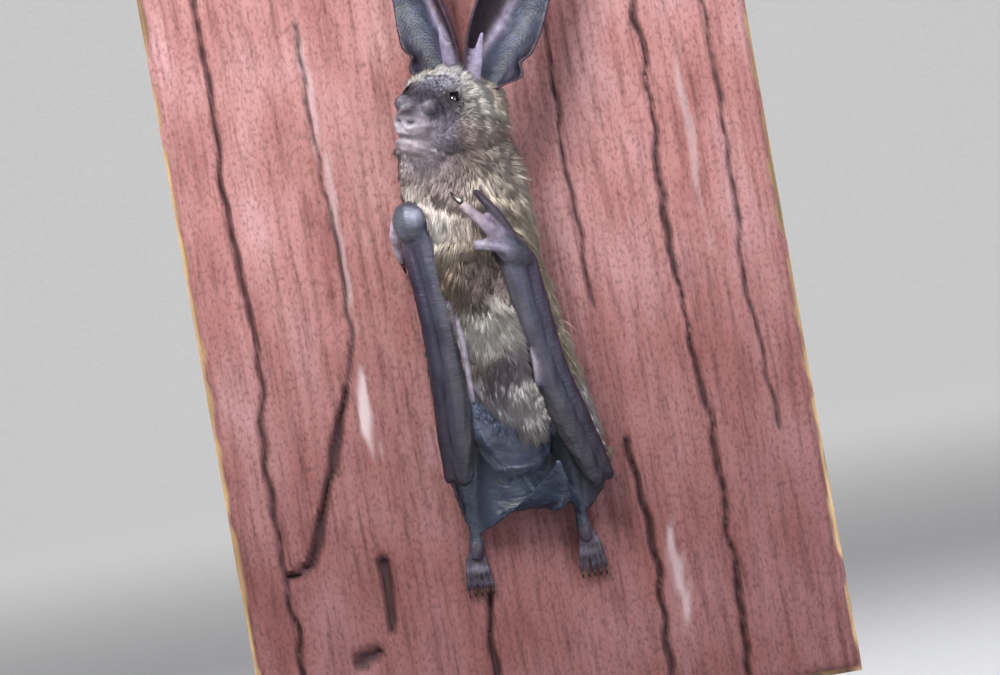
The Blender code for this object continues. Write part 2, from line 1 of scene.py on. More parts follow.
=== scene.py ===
"""The looks of the big-eared bat on its painted board: skin, coat, eyes, claws, board and stand.

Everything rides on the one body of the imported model. Lengths are millimetres in the bat's own frame, unless a
comment says otherwise: X towards the viewer's right, Y into the board, whose painted face is Y = 0, and Z up
from the bat's waist, which is WAIST_HEIGHT above the floor. Left and right in names are the bat's own.
"""

import json
import math

import bpy
import numpy as np
from mathutils import Matrix, Vector
from mathutils.bvhtree import BVHTree
from mathutils.kdtree import KDTree

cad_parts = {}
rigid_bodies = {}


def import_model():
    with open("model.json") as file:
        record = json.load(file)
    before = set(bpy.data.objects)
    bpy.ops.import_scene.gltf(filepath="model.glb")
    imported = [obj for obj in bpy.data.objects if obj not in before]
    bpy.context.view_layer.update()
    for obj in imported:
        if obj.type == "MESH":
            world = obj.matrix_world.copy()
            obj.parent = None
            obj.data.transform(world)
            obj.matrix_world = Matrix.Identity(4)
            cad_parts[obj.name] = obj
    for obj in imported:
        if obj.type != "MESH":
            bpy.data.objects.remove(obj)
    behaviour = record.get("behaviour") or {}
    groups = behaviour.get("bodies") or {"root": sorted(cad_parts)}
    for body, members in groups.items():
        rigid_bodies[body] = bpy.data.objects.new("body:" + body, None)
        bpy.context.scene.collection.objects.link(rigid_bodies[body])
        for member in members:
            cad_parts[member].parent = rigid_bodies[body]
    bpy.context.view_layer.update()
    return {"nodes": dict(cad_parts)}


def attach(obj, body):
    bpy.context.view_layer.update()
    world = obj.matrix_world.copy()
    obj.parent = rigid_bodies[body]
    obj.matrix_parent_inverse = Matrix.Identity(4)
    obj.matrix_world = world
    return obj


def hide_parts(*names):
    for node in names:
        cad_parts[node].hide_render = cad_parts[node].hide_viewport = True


MM = 0.001
WAIST_HEIGHT = 98.0
BODY_AXIS_X = -0.7
BOARD_SIZE = (89.0, 19.0, 140.0)
BOARD_BELOW_WAIST = 58.0
BASE_SIZE = (160.0, 100.0, 10.0)

HEAD_CENTRE = (-2.2, -11.6, 32.9)
HEAD_YAW = math.radians(32.0)
HEAD_PITCH = math.radians(5.0)
HEAD_ROLL = math.radians(18.0)
HEAD_SCALE = 1.05
# Places on the head are forward, out to each side and up from its middle.
EYE_PLACE = (4.2, 3.4, 3.0)
EYE_RADIUS = 0.85
LID_RADIUS = 0.74
LID_THICKNESS = 0.25
GLAND = (8.8, 1.93, 1.94)  # the lump on each side of the muzzle
MOUTH_LINE = [(10.4, 0.0, -2.9), (9.3, 1.9, -3.0), (7.4, 3.0, -3.2), (5.2, 3.9, -3.7), (3.4, 4.5, -4.4)]
SIDES = ("right", "left")
OUTWARD = {"right": -1.0, "left": 1.0}

# The ears' blades, as the solids hold them: angles in degrees, and rows of half-width and curl to the tip
EAR_ROOT = {"right": (-2.65, -2.6, 4.95), "left": (-2.65, 4.6, 4.95)}
EAR_LEAN = {"right": -3.0, "left": 21.0}
EAR_OPENS = {"right": 22.0, "left": 8.0}
EAR_TWIST = 33.0
EAR_TWIST_OVER = 0.4
EAR_LENGTH = 30.9
EAR_ROWS = [(4.9, 1.35), (6.2, 1.3), (6.9, 1.2), (7.0, 1.1), (6.4, 1.0), (5.2, 0.95), (3.4, 0.9), (0.7, 0.85)]
WRIST = {"right": (-9.6, -13.0, 17.6), "left": (4.8, -16.3, 10.4)}
ELBOW = {"right": (-9.6, -9.8, -18.9), "left": (11.0, -7.6, -22.4)}
HEEL = {"right": (-8.6, -2.1, -28.6), "left": (7.2, -2.1, -28.6)}
TOES = 5

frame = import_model()
nodes = frame["nodes"]
chance = np.random.default_rng(20)


# ---------------------------------------------------------------- frames and small helpers


def world(points):
    """Metres above the floor from millimetres in the bat's frame."""
    return (np.asarray(points, float) + (0.0, 0.0, WAIST_HEIGHT)) * MM


def bat_frame(points):
    return np.asarray(points, float) / MM - (0.0, 0.0, WAIST_HEIGHT)


def head_axes():
    """Forward, the bat's left, and up, of the turned head, as the rows of a matrix."""
    level = math.cos(HEAD_PITCH)
    forward = Vector((-math.sin(HEAD_YAW) * level, -math.cos(HEAD_YAW) * level, math.sin(HEAD_PITCH)))
    level_left = Vector((0.0, 0.0, 1.0)).cross(forward).normalized()
    level_up = forward.cross(level_left)
    up = level_up * math.cos(HEAD_ROLL) + level_left * math.sin(HEAD_ROLL)
    left = level_left * math.cos(HEAD_ROLL) - level_up * math.sin(HEAD_ROLL)
    return np.array((forward, left, up))


HEAD_AXES = head_axes()


def from_head(places):
    """Bat-frame points from (forward, left, up) on the head."""
    return np.asarray(places, float) @ HEAD_AXES * HEAD_SCALE + HEAD_CENTRE


def on_head(points):
    """(forward, left, up) on the head from bat-frame points."""
    return (np.asarray(points, float) - HEAD_CENTRE) @ HEAD_AXES.T / HEAD_SCALE


def both(*names):
    return [f"{name}_{side}" for name in names for side in SIDES]


def smooth_step(value, low, high):
    t = np.clip((value - low) / (high - low), 0.0, 1.0)
    return t * t * (3.0 - 2.0 * t)


def head_share(points):
    """0 on the body, easing to 1 over the neck."""
    return smooth_step(points[:, 2], 22.0, 27.0)


def between(value, starts, full, falls, ends):
    """1 from full to falls, easing to 0 at the outer two."""
    return smooth_step(value, starts, full) * (1.0 - smooth_step(value, falls, ends))


def bell(value, width):
    """1 at zero, falling away on both sides over about this width."""
    return np.exp(-((value / width) ** 2))


def blend(first, second, share):
    return first * (1.0 - share) + second * share


def distance(points, centre):
    return np.linalg.norm(points - centre, axis=1)


def spot(points, centre, radius):
    """A soft round spot: 1 at its centre, 0.61 at its radius."""
    return np.exp(-0.5 * (distance(points, centre) / radius) ** 2)


def unit(vectors):
    return vectors / np.maximum(np.linalg.norm(vectors, axis=-1, keepdims=True), 1e-9)


def wander(points, size, seed):
    """A smooth random number from about -1 to 1 at each point, with lumps about this size."""
    waves = np.random.default_rng(seed)
    total = np.zeros(len(points))
    for _ in range(6):
        direction = unit(waves.normal(size=3)) * waves.uniform(0.7, 1.5) * math.pi / size
        total += np.sin(points @ direction + waves.uniform(0.0, math.tau))
    return total / 3.0


def nearest_of(anchors, points):
    """The index of the anchor that is nearest to each point."""
    finder = KDTree(len(anchors))
    for index, anchor in enumerate(anchors):
        finder.insert(anchor, index)
    finder.balance()
    return [finder.find(point)[1] for point in points]


def deselect():
    bpy.ops.object.select_all(action="DESELECT")


def make_active(obj):
    deselect()
    obj.select_set(True)
    bpy.context.view_layer.objects.active = obj


def enter_edit(obj, select=None):
    """Edit mode on one object, with all of it selected, nothing of it, or what was selected before."""
    make_active(obj)
    bpy.ops.object.mode_set(mode="EDIT")
    if select:
        bpy.ops.mesh.select_all(action=select)


def leave_edit():
    bpy.ops.object.mode_set(mode="OBJECT")


def finish_with(obj, kind, **settings):
    """Adds a modifier with these settings and applies it."""
    make_active(obj)
    modifier = obj.modifiers.new(kind.title(), kind)
    for name, value in settings.items():
        setattr(modifier, name, value)
    bpy.ops.object.modifier_apply(modifier=modifier.name)


def read(items, name, width, kind):
    """One property of all these items, as rows of this width."""
    values = np.empty(len(items) * width, kind)
    items.foreach_get(name, values)
    return values.reshape(-1, width)


def places_of(obj):
    return bat_frame(read(obj.data.vertices, "co", 3, np.float32))


def normals_of(obj):
    return read(obj.data.vertices, "normal", 3, np.float32).astype(float)


def set_places(obj, points):
    obj.data.vertices.foreach_set("co", world(points).astype(np.float32).ravel())
    obj.data.update()


def colour_between(values, stops):
    """Linear colours for an array of values, blended between (position, hex) stops."""
    places = [place for place, _ in stops]
    shades = np.array([linear(shade) for _, shade in stops])
    return np.column_stack([np.interp(values, places, shades[:, i]) for i in range(3)])


def set_tint(obj, colours):
    """Stores a linear colour for each point, which the materials read as the attribute tint."""
    data = obj.data
    layer = data.color_attributes.get("tint") or data.color_attributes.new("tint", "FLOAT_COLOR", "POINT")
    rgba = np.ones((len(colours), 4), np.float32)
    rgba[:, :3] = colours
    layer.data.foreach_set("color", rgba.ravel())


def new_piece(name, mesh):
    piece = bpy.data.objects.new(name, mesh)
    bpy.context.scene.collection.objects.link(piece)
    return piece


def dress(piece, slot, materials, *replaced):
    """Gives a piece its materials and the nodes that it replaces, and sets it on the one body; the slot is not
    used.
    """
    piece.data.materials.clear()
    for material in materials:
        piece.data.materials.append(material)
    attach(piece, "root")
    if replaced:
        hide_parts(*replaced)


# ---------------------------------------------------------------- colours and materials


def linear(hex_colour):
    """Linear red, green and blue from an sRGB hex value."""
    parts = [int(hex_colour[i : i + 2], 16) / 255.0 for i in (0, 2, 4)]
    return np.array([c / 12.92 if c <= 0.04045 else ((c + 0.055) / 1.055) ** 2.4 for c in parts])


def new_material(name, roughness, specular=0.5, metallic=0.0, ior=1.45, **more):
    material = bpy.data.materials.new(name)
    material.use_nodes = True
    shader = material.node_tree.nodes["Principled BSDF"]
    base = {"Roughness": roughness, "Specular IOR Level": specular, "Metallic": metallic, "IOR": ior}
    for socket, value in {**base, **more}.items():
        shader.inputs[socket].default_value = value
    return material, material.node_tree, shader


def add_node(tree, kind, inputs=None, out=0, stops=(), **settings):
    """Adds a node with its settings, its inputs set or linked, and its colour stops. Returns one output."""
    made = tree.nodes.new("ShaderNode" + kind)
    for name, value in settings.items():
        setattr(made, name, value)
    for socket, value in (inputs or {}).items():
        if isinstance(value, bpy.types.NodeSocket):
            tree.links.new(value, made.inputs[socket])
        else:
            made.inputs[socket].default_value = value
    if stops:
        elements = made.color_ramp.elements
        while len(elements) < len(stops):
            elements.new(0.5)
        for element, (position, colour) in zip(elements, stops):
            element.position = position
            element.color = (*linear(colour), 1.0)
    return made.outputs[out]


def pattern(tree, size, stretch=(1, 1, 1), kind="TexNoise", **inputs):
    """A pattern with lumps about this many millimetres across, drawn out along axes with a low stretch."""
    place = add_node(tree, "TexCoord", out="Object")
    place = add_node(tree, "Mapping", {"Vector": place, "Scale": stretch})
    return add_node(tree, kind, {"Vector": place, "Scale": 1.0 / (size * MM), **inputs})


def shaded_tint(tree, strength, value, stops):
    """The tint that is stored on the mesh, shaded by a pattern's value through the stops."""
    tint = add_node(tree, "Attribute", attribute_name="tint")
    shade = add_node(tree, "ValToRGB", {"Fac": value}, stops=stops)
    return add_node(tree, "Mix", {0: strength, 6: tint, 7: shade}, 2, data_type="RGBA", blend_type="MULTIPLY")


def finish_surface(tree, shader, colour, *relief):
    """Gives the shader its colour, and relief in layers of pattern, strength and depth in millimetres."""
    tree.links.new(colour, shader.inputs["Base Color"])
    below = {}
    for height, strength, depth in relief:
        inputs = {"Height": height, "Strength": strength, "Distance": depth * MM, **below}
        below["Normal"] = add_node(tree, "Bump", inputs)
        tree.links.new(below["Normal"], shader.inputs["Normal"])


def make_fur_material():
    """Bat fur: fine dry hair with a soft sheen and small streaks of light and shade along it."""
    material, tree, shader = new_material("bat_fur", 0.72, specular=0.22, ior=1.55)
    streaks = pattern(tree, 0.5, (1, 1, 0.35))
    finish_surface(tree, shader, shaded_tint(tree, 0.6, streaks, [(0.3, "C8C8C8"), (0.7, "FFFFFF")]))
    return material


def make_hide_material():
    """The hide under the fur: matt, with the roots of short flat hair as bump."""
    material, tree, shader = new_material("furred_hide", 0.85, specular=0.2)
    hair = pattern(tree, 0.12, (1, 1, 0.2), Detail=3.0)
    colour = shaded_tint(tree, 0.7, hair, [(0.3, "8C8C8C"), (0.7, "FFFFFF")])
    finish_surface(tree, shader, colour, (hair, 0.5, 0.08))
    return material


def make_wing_material():
    """Wing skin: thin elastic leather, dark and satin, with fine crosswise creases and a pebbled grain."""
    material, tree, shader = new_material("wing_skin", 0.42, specular=0.5, ior=1.4)
    grain = pattern(tree, 0.32, kind="TexVoronoi")
    crease = pattern(tree, 1.1, (0.7, 0.7, 2.2), Detail=4.0, Distortion=0.6)
    mottle = pattern(tree, 2.6, (1, 1, 0.6), Detail=3.0)
    colour = shaded_tint(tree, 1.0, mottle, [(0.28, "A9A6B4"), (0.5, "E6E4E8"), (0.72, "FFFFFF")])
    sheen = {"Value": mottle, "From Min": 0.3, "From Max": 0.7, "To Min": 0.36, "To Max": 0.52}
    tree.links.new(add_node(tree, "MapRange", sheen), shader.inputs["Roughness"])
    finish_surface(tree, shader, colour, (crease, 0.5, 0.3), (grain, 0.25, 0.06))
    return material


def make_face_skin_material():
    """Bare skin of muzzle, ears, thumbs and toes: soft, faintly moist, with pores and blood beneath."""
    material, tree, shader = new_material("face_skin", 0.48, specular=0.45, ior=1.4)
    shader.inputs["Subsurface Weight"].default_value = 0.12
    shader.inputs["Subsurface Radius"].default_value = (1.0, 0.4, 0.3)
    shader.inputs["Subsurface Scale"].default_value = 0.4 * MM
    pores = pattern(tree, 0.26, kind="TexVoronoi")
    mottle = pattern(tree, 1.3, Detail=3.0)
    colour = shaded_tint(tree, 1.0, mottle, [(0.3, "B9AEB4"), (0.7, "FFFFFF")])
    finish_surface(tree, shader, colour, (mottle, 0.4, 0.2), (pores, 0.6, 0.07))
    return material


def make_eye_material():
    """A dark wet eye: glossy glass over near-black brown."""
    wet = {"Coat Weight": 1.0, "Coat Roughness": 0.02}
    material, tree, shader = new_material("wet_eye", 0.05, specular=0.6, ior=1.4, **wet)
    depth = pattern(tree, 0.6)
    colour = add_node(tree, "ValToRGB", {"Fac": depth}, stops=[(0.35, "060507"), (0.7, "140D0A")])
    finish_surface(tree, shader, colour)
    return material


def make_claw_material():
    """Horn claws: polished keratin, dark brown with paler streaks along the growth."""
    material, tree, shader = new_material("claw_horn", 0.28, specular=0.5, ior=1.54)
    streaks = pattern(tree, 0.3, (1, 1, 0.4))
    colour = add_node(tree, "ValToRGB", {"Fac": streaks}, stops=[(0.3, "120E0C"), (0.75, "3A2E27")])
    finish_surface(tree, shader, colour)
    return material


def make_board_material():
    """Old red barn paint on softwood: chalky salmon red, rubbed pale on the high grain, bare at the edges, and
    darker towards the bottom as painted shade.

    The mesh's tint says where it is cracked (red), bare (green), and rubbed, with a painted highlight beside
    the seam (blue).
    """
    material, tree, shader = new_material("red_barn_paint", 0.72, specular=0.3, ior=1.5)
    grain = pattern(tree, 1.1, (1, 0.3, 0.07), Detail=5.0, Roughness=0.6)
    blotch = pattern(tree, 9.0, (1, 1, 0.45), Detail=4.0)
    grit = pattern(tree, 0.45, (1, 1, 0.6), Detail=3.0)
    rings = pattern(tree, 1.7, (1, 1, 0.03), Detail=5.0)
    place = add_node(tree, "TexCoord", out="Object")
    height = add_node(tree, "SeparateXYZ", {"Vector": place}, "Z")
    # Painted shade: the paint darkens towards the bottom, as the light falls off lower down.
    falloff_shade = add_node(tree, "MapRange", {"Value": height, "From Min": 70.0 * MM, "From Max": 118.0 * MM})
    paint_stops = [(0.25, "7A4B4A"), (0.45, "8E6362"), (0.62, "9A7374"), (0.8, "AA888C")]
    wood_stops = [(0.34, "6A523C"), (0.48, "94785A"), (0.56, "A78B68"), (0.66, "BC9F7A")]
    wear_and_shade = (
        (1.0, falloff_shade, [(0.0, "C8B9BA"), (1.0, "FFFFFF")]),
        (1.0, grain, [(0.32, "C2B4B4"), (0.5, "F4F0F0"), (0.68, "FFFFFF")]),
        (0.7, grit, [(0.3, "B8ACAA"), (0.52, "FFFFFF")]),
    )
    colour = add_node(tree, "ValToRGB", {"Fac": blotch}, stops=paint_stops)
    for strength, value, stops in wear_and_shade:
        worn_and_painted_light = add_node(tree, "ValToRGB", {"Fac": value}, stops=stops)
        inputs = {0: strength, 6: colour, 7: worn_and_painted_light}
        colour = add_node(tree, "Mix", inputs, 2, data_type="RGBA", blend_type="MULTIPLY")
    wood = add_node(tree, "ValToRGB", {"Fac": rings}, stops=wood_stops)
    masks = add_node(tree, "Attribute", attribute_name="tint")
    rub_and_sheen, crack = (*linear("AB9B9E"), 1.0), (*linear("2B191C"), 1.0)
    for channel, cover in (("Green", wood), ("Blue", rub_and_sheen), ("Red", crack)):
        share = add_node(tree, "SeparateColor", {"Color": masks}, channel)
        colour = add_node(tree, "Mix", {0: share, 6: colour, 7: cover}, 2, data_type="RGBA")
    finish_surface(tree, shader, colour, (grain, 0.55, 0.5), (grit, 0.5, 0.18))
    return material


def make_lacquer_material():
    """The stand's base: hardwood under satin black lacquer, with the pores just showing."""
    material, tree, shader = new_material("black_lacquer", 0.32, specular=0.5, ior=1.5)
    pores = pattern(tree, 0.7, (0.06, 1, 1), Detail=4.0)
    colour = add_node(tree, "ValToRGB", {"Fac": pores}, stops=[(0.3, "16151A"), (0.7, "232227")])
    finish_surface(tree, shader, colour, (pores, 0.25, 0.1))
    return material


def make_steel_material():
    """Turned steel rod: bright metal with fine rings left by the lathe."""
    material, tree, shader = new_material("turned_steel", 0.28, metallic=1.0)
    rings = pattern(tree, 0.15, (0.02, 0.02, 1), Detail=2.0)
    colour = add_node(tree, "ValToRGB", {"Fac": rings}, stops=[(0.3, "A9A9AC"), (0.7, "C9C9CC")])
    finish_surface(tree, shader, colour, (rings, 0.2, 0.03))
    return material


def make_paper_material():
    """The studio's floor and backdrop: matt pale paper."""
    material, tree, shader = new_material("backdrop_paper", 0.9, specular=0.2)
    fibre = pattern(tree, 4.0, Detail=4.0)
    colour = add_node(tree, "ValToRGB", {"Fac": fibre}, stops=[(0.3, "D3D2D0"), (0.7, "DAD9D7")])
    finish_surface(tree, shader, colour)
    return material


FUR = make_fur_material()
EYE = make_eye_material()
CLAW = make_claw_material()
SKIN_MATERIALS = (make_hide_material(), make_wing_material(), make_face_skin_material())
HIDE, WING, FACE = range(3)  # their places


# ---------------------------------------------------------------- studio, in metres


FLOOR_SIZE = 12.0
WALL_HEIGHT = 6.0
SWEEP_RADIUS = 2.5


def make_studio():
    """A pale floor that curves up into a wall, far enough off to walk round the model."""
    deselect()
    bpy.ops.mesh.primitive_plane_add(size=1.0, location=(0.0, 0.0, 0.0))
    sweep = bpy.context.object
    sweep.name = "studio_sweep"
    enter_edit(sweep, "SELECT")
    bpy.ops.transform.resize(value=(FLOOR_SIZE, FLOOR_SIZE, 1.0))
    bpy.ops.mesh.select_all(action="DESELECT")
    leave_edit()
    for edge in sweep.data.edges:
        edge.select = all(sweep.data.vertices[i].co.y > 0.4 * FLOOR_SIZE for i in edge.vertices)
    enter_edit(sweep)
    bpy.ops.mesh.select_mode(type="EDGE")
    bpy.ops.mesh.extrude_region_move(TRANSFORM_OT_translate={"value": (0.0, 0.0, WALL_HEIGHT)})
    leave_edit()
    finish_with(sweep, "BEVEL", width=SWEEP_RADIUS, segments=24, limit_method="ANGLE")
    sweep.data.shade_smooth()
    sweep.data.materials.append(make_paper_material())


def add_lamp(name, place, aim, size, power, colour):
    deselect()
    bpy.ops.object.light_add(type="AREA", location=place)
    lamp = bpy.context.object
    lamp.name = name
    lamp.data.shape = "DISK"
    lamp.data.size = size
    lamp.data.energy = power
    lamp.data.color = linear(colour)
    lamp.rotation_euler = (Vector(aim) - Vector(place)).to_track_quat("-Z", "Y").to_euler()


def light_studio():
    """A near key for the head, a cool fill, a rim behind, a wash on the wall and pale air all round."""
    add_lamp("key_lamp", (-0.06, -0.22, 0.32), (0.0, 0.0, 0.12), 0.14, 2.1, "FFFDF8")
    add_lamp("fill_lamp", (0.5, -0.6, 0.22), (0.0, 0.0, 0.1), 0.6, 3.6, "EEF3FF")
    add_lamp("rim_lamp", (0.1, 0.55, 0.6), (0.0, 0.0, 0.1), 0.4, 3.0, "F4F6FF")
    add_lamp("wall_lamp", (0.0, 2.4, 2.8), (0.0, 6.5, 1.0), 3.0, 60.0, "FFFFFF")
    air = bpy.data.worlds.new("studio_air")
    air.use_nodes = True
    background = air.node_tree.nodes["Background"]
    background.inputs["Color"].default_value = (*linear("F2F4FA"), 1.0)
    background.inputs["Strength"].default_value = 0.5
    bpy.context.scene.world = air
    bpy.context.scene.view_settings.view_transform = "Standard"


CAMERA_DISTANCE = 0.8
FRAME_WIDTH = 0.147  # at the bat's own distance
SENSOR_WIDTH = 36.0  # millimetres
CAMERA_ROLL = math.radians(10.0)  # so that the bat leans left
SUBJECT_DEPTH = -8.0  # millimetres, in front of the board


def place_camera():
    """A long lens, level with the bat's waist, rolled as the view is."""
    deselect()
    bpy.ops.object.camera_add(location=(0.0, SUBJECT_DEPTH * MM - CAMERA_DISTANCE, WAIST_HEIGHT * MM))
    camera = bpy.context.object
    camera.name = "camera"
    camera.data.sensor_width = SENSOR_WIDTH
    camera.data.lens = SENSOR_WIDTH * CAMERA_DISTANCE / FRAME_WIDTH
    camera.data.clip_start = 0.01
    facing = Vector((0.0, 1.0, 0.0)).to_track_quat("-Z", "Y").to_matrix().to_4x4()
    camera.rotation_euler = (facing @ Matrix.Rotation(-CAMERA_ROLL, 4, "Z")).to_euler()
    bpy.context.scene.camera = camera


# ---------------------------------------------------------------- shaping the skin


# The nodes that carry the coat. The muzzle's tip is bare.
CORE_NODES = ["head", "muzzle", "lower_jaw", "neck", "trunk", *both("upper_arm", "thigh")]
# Bare parts by node: the skin's tint there, and its material's place in SKIN_MATERIALS
BARE_NODES = {
    **dict.fromkeys(both("ear"), ("4A3A4A", FACE)),
    **dict.fromkeys(both("tragus"), ("7A748B", FACE)),
    **dict.fromkeys(both("hand"), ("33343F", WING)),
    **dict.fromkeys(both("thumb"), ("7A7183", FACE)),
    "second_finger_left": ("6E6A7A", FACE),
    "front_membrane_left": ("352D3A", WING),
    **dict.fromkeys(both("forearm"), ("4C4A5E", WING)),
    **dict.fromkeys(both("folded_fingers"), ("3C3350", WING)),
    **dict.fromkeys(both("fifth_finger"), ("7D7884", FACE)),
    **dict.fromkeys(both("shin"), ("353C49", WING)),
    "tail": ("343D4D", WING),
    **dict.fromkeys(both("tail_membrane"), ("283143", WING)),
    **dict.fromkeys(both("wing_membrane"), ("24222E", WING)),
}
FLESH = CORE_NODES + list(BARE_NODES)
FOOT_TINT = "423D4A"
RUMP_TINT = "5A6273"
LID_TINT = "2C262F"
# Patches on the bare skin, some of them painted highlights and shadows: (x, y, z), radius, colour
BARE_PATCHES = [
    # the right wrist: its dark skin above, and a painted highlight on the joint
    ((-9.6, -12.6, 22.4), 1.5, "2F2B38"),
    ((-9.4, -15.4, 19.8), 0.8, "979CAD"),
    # the right thumb, painted pale as light that lifts the wing's shadow on it
    ((-12.9, -9.8, 18.4), 2.0, "D3CBE0"),
    ((-12.9, -6.0, 15.6), 1.8, "DDD5E6"),
    # a painted highlight on the left wrist, then the left thumb and second finger
    ((2.7, -19.0, 12.6), 0.85, "787489"),
    ((-0.9, -18.4, 13.8), 0.9, "7C7882"),
    ((-0.4, -19.6, 17.6), 1.1, "8B818A"),
    ((-2.0, -19.3, 20.0), 0.9, "A89B9D"),
    # the tips of the fifth fingers
    ((-5.4, -15.2, -8.9), 0.9, "2A2C3C"),
    ((4.3, -14.8, -8.1), 0.9, "2A2C3C"),
    # painted shadow below the right elbow
    ((-7.6, -9.0, -21.0), 1.6, "20202C"),
]
SKIN_VOXEL = 0.25
FOOT_VOXEL = 0.11
CLAW_VOXEL = 0.09
SKIN_TRIANGLES = 128000
INFLATE = 0.22  # closes the clearance between neighbouring solids before they are fused
COAT_DEPTH = 1.25
HEAD_COAT_DEPTH = 0.9
FACE_COAT_DEPTH = 0.35
FADE_TO_BARE = 2.4  # the coat thins over this distance to the bare parts


def fused_copy(name, node_names, voxel, passes):
    """One closed mesh from copies of CAD nodes, swollen to meet, remeshed and smoothed."""
    deselect()
    for node_name in node_names:
        nodes[node_name].select_set(True)
    bpy.context.view_layer.objects.active = nodes[node_names[0]]
    bpy.ops.object.duplicate()
    bpy.ops.object.join()
    piece = bpy.context.object
    piece.name = piece.data.name = name
    piece.parent = None
    for key in list(piece.keys()):
        del piece[key]
    piece.data.materials.clear()
    enter_edit(piece, "SELECT")
    bpy.ops.mesh.remove_doubles(threshold=1e-6)
    leave_edit()
    finish_with(piece, "DISPLACE", strength=INFLATE * MM, mid_level=0.0)
    finish_with(piece, "REMESH", mode="VOXEL", voxel_size=voxel * MM, use_smooth_shade=True)
    finish_with(piece, "SMOOTH", factor=0.5, iterations=passes)
    return piece


def keep_outside(piece):
    """Deletes the closed pockets that fusing leaves inside: all that isn't joined to the topmost point."""
    top = int(np.argmax(places_of(piece)[:, 2]))
    enter_edit(piece, "DESELECT")
    bpy.ops.mesh.select_mode(type="VERT")
    leave_edit()
    piece.data.vertices[top].select = True
    enter_edit(piece)
    bpy.ops.mesh.select_linked()
    bpy.ops.mesh.select_all(action="INVERT")
    bpy.ops.mesh.delete(type="VERT")
    leave_edit()


def refine(piece, centre, reach):
    """Subdivides the faces near a bat-frame place once."""
    near = distance(places_of(piece), centre) < reach
    enter_edit(piece, "DESELECT")
    bpy.ops.mesh.select_mode(type="FACE")
    leave_edit()
    for polygon in piece.data.polygons:
        polygon.select = all(near[i] for i in polygon.vertices)
    enter_edit(piece)
    bpy.ops.mesh.subdivide(number_cuts=1, smoothness=0.0)
    leave_edit()


def coat_depth_at(points, to_bare):
    """How deep the skin lies under the tips of the coat."""
    forward = on_head(points)[:, 0]
    on_the_head = head_share(points)
    depth = COAT_DEPTH + (HEAD_COAT_DEPTH - COAT_DEPTH) * on_the_head
    depth = depth + (FACE_COAT_DEPTH - depth) * (smooth_step(forward, 1.0, 5.5) * on_the_head)
    muzzle = smooth_step(forward, 5.0, 7.5) * on_the_head
    return depth * (1.0 - muzzle) * smooth_step(to_bare, 0.3, FADE_TO_BARE)


def eye_centre(side):
    forward, out, up = EYE_PLACE
    return from_head((forward, OUTWARD[side] * out, up))


def add_lids(skin, side):
    """A soft almond rim round the eye, joined to the skin, and the way the eye faces."""
    centre = eye_centre(side)
    near = distance(places_of(skin), centre) < 2.2
    facing = unit(normals_of(skin)[near].sum(axis=0))
    ring = {"major_radius": LID_RADIUS * MM, "minor_radius": LID_THICKNESS * MM}
    deselect()
    bpy.ops.mesh.primitive_torus_add(major_segments=36, minor_segments=12, **ring)
    rim = bpy.context.object
    rim.scale = (1.16, 0.92, 1.0)
    rim.rotation_euler = Vector(facing).to_track_quat("Z", "X").to_euler()
    rim.location = Vector(world(centre + facing * 0.62))
    bpy.ops.object.transform_apply(location=True, rotation=True, scale=True)
    finish_with(skin, "BOOLEAN", operation="UNION", object=rim, solver="MANIFOLD")
    bpy.data.objects.remove(rim)
    return facing


def along(line, count):
    """Evenly counted points on the open polyline."""
    line = np.asarray(line, float)
    places = np.linspace(0.0, len(line) - 1.0, count)
    index = np.minimum(places.astype(int), len(line) - 2)
    return blend(line[index], line[index + 1], (places - index)[:, None])


# What stands out of the face and what is sunk in it: middle on the head, radius, height
FACE_RELIEF = [
    ((11.0, 0.95, -0.85), 0.45, -0.8),  # the nostril, open forwards and out
    ((10.6, 1.5, -0.6), 0.36, -0.4),  # the comma behind it
    ((11.1, 0.0, -0.6), 0.4, -0.16),
    ((10.9, 0.5, 0.0), 0.6, 0.16),  # the pad of the nose
    ((10.9, 0.9, -1.5), 0.5, 0.14),
    (GLAND, 0.85, 0.32),
    ((7.6, 2.9, 0.6), 0.9, -0.14),
    ((9.6, 0.0, 1.6), 0.8, -0.16),
    ((5.0, 4.4, -1.8), 1.2, 0.18),  # the cheek
]


def shape_face(core):
    """Presses in mouth and nostrils and raises nose pad and glands. Returns the painted shade for the mouth
    line and the nostrils at each point.
    """
    points = places_of(core)
    normals = normals_of(core)
    forward, left, up = on_head(points).T
    near = np.flatnonzero((forward > 2.0) & (points[:, 2] > 20.0))
    place = np.column_stack((forward, np.abs(left), up))[near]
    mouth = along(MOUTH_LINE, 80)
    to_mouth = np.linalg.norm(place[:, None, :] - mouth[None, :, :], axis=2).min(axis=1)
    move = 0.2 * bell(to_mouth - 0.7, 0.35) - 0.5 * bell(to_mouth, 0.26)
    shaded = 0.7 * bell(to_mouth, 0.3)
    for centre, radius, height in FACE_RELIEF:
        share = bell(distance(place, centre), radius)
        move += height * share
        shaded = np.maximum(shaded, share * (height < -0.3))
    move += 0.03 * wander(place, 0.7, 51) * smooth_step(place[:, 0], 5.5, 7.5)
    points[near] += normals[near] * move[:, None]
    set_places(core, points)
    dark = np.zeros(len(points))
    dark[near] = shaded
    return dark


# An ear's colours, its own dark tone with painted light and shade of its hollow laid in as bands: across its
# front near the root, and further up by place inward and outward of the crest
EAR_LOW = [
    (0.0, "4A3A4C"), (0.04, "6E6478"), (0.09, "A79FB8"), (0.26, "8A849E"), (0.34, "565A72"), (0.42, "4A5474"),
    (0.52, "66738F"), (0.64, "4F5873"), (0.82, "56566C"), (0.94, "42364C"), (1.0, "32253A"),
]
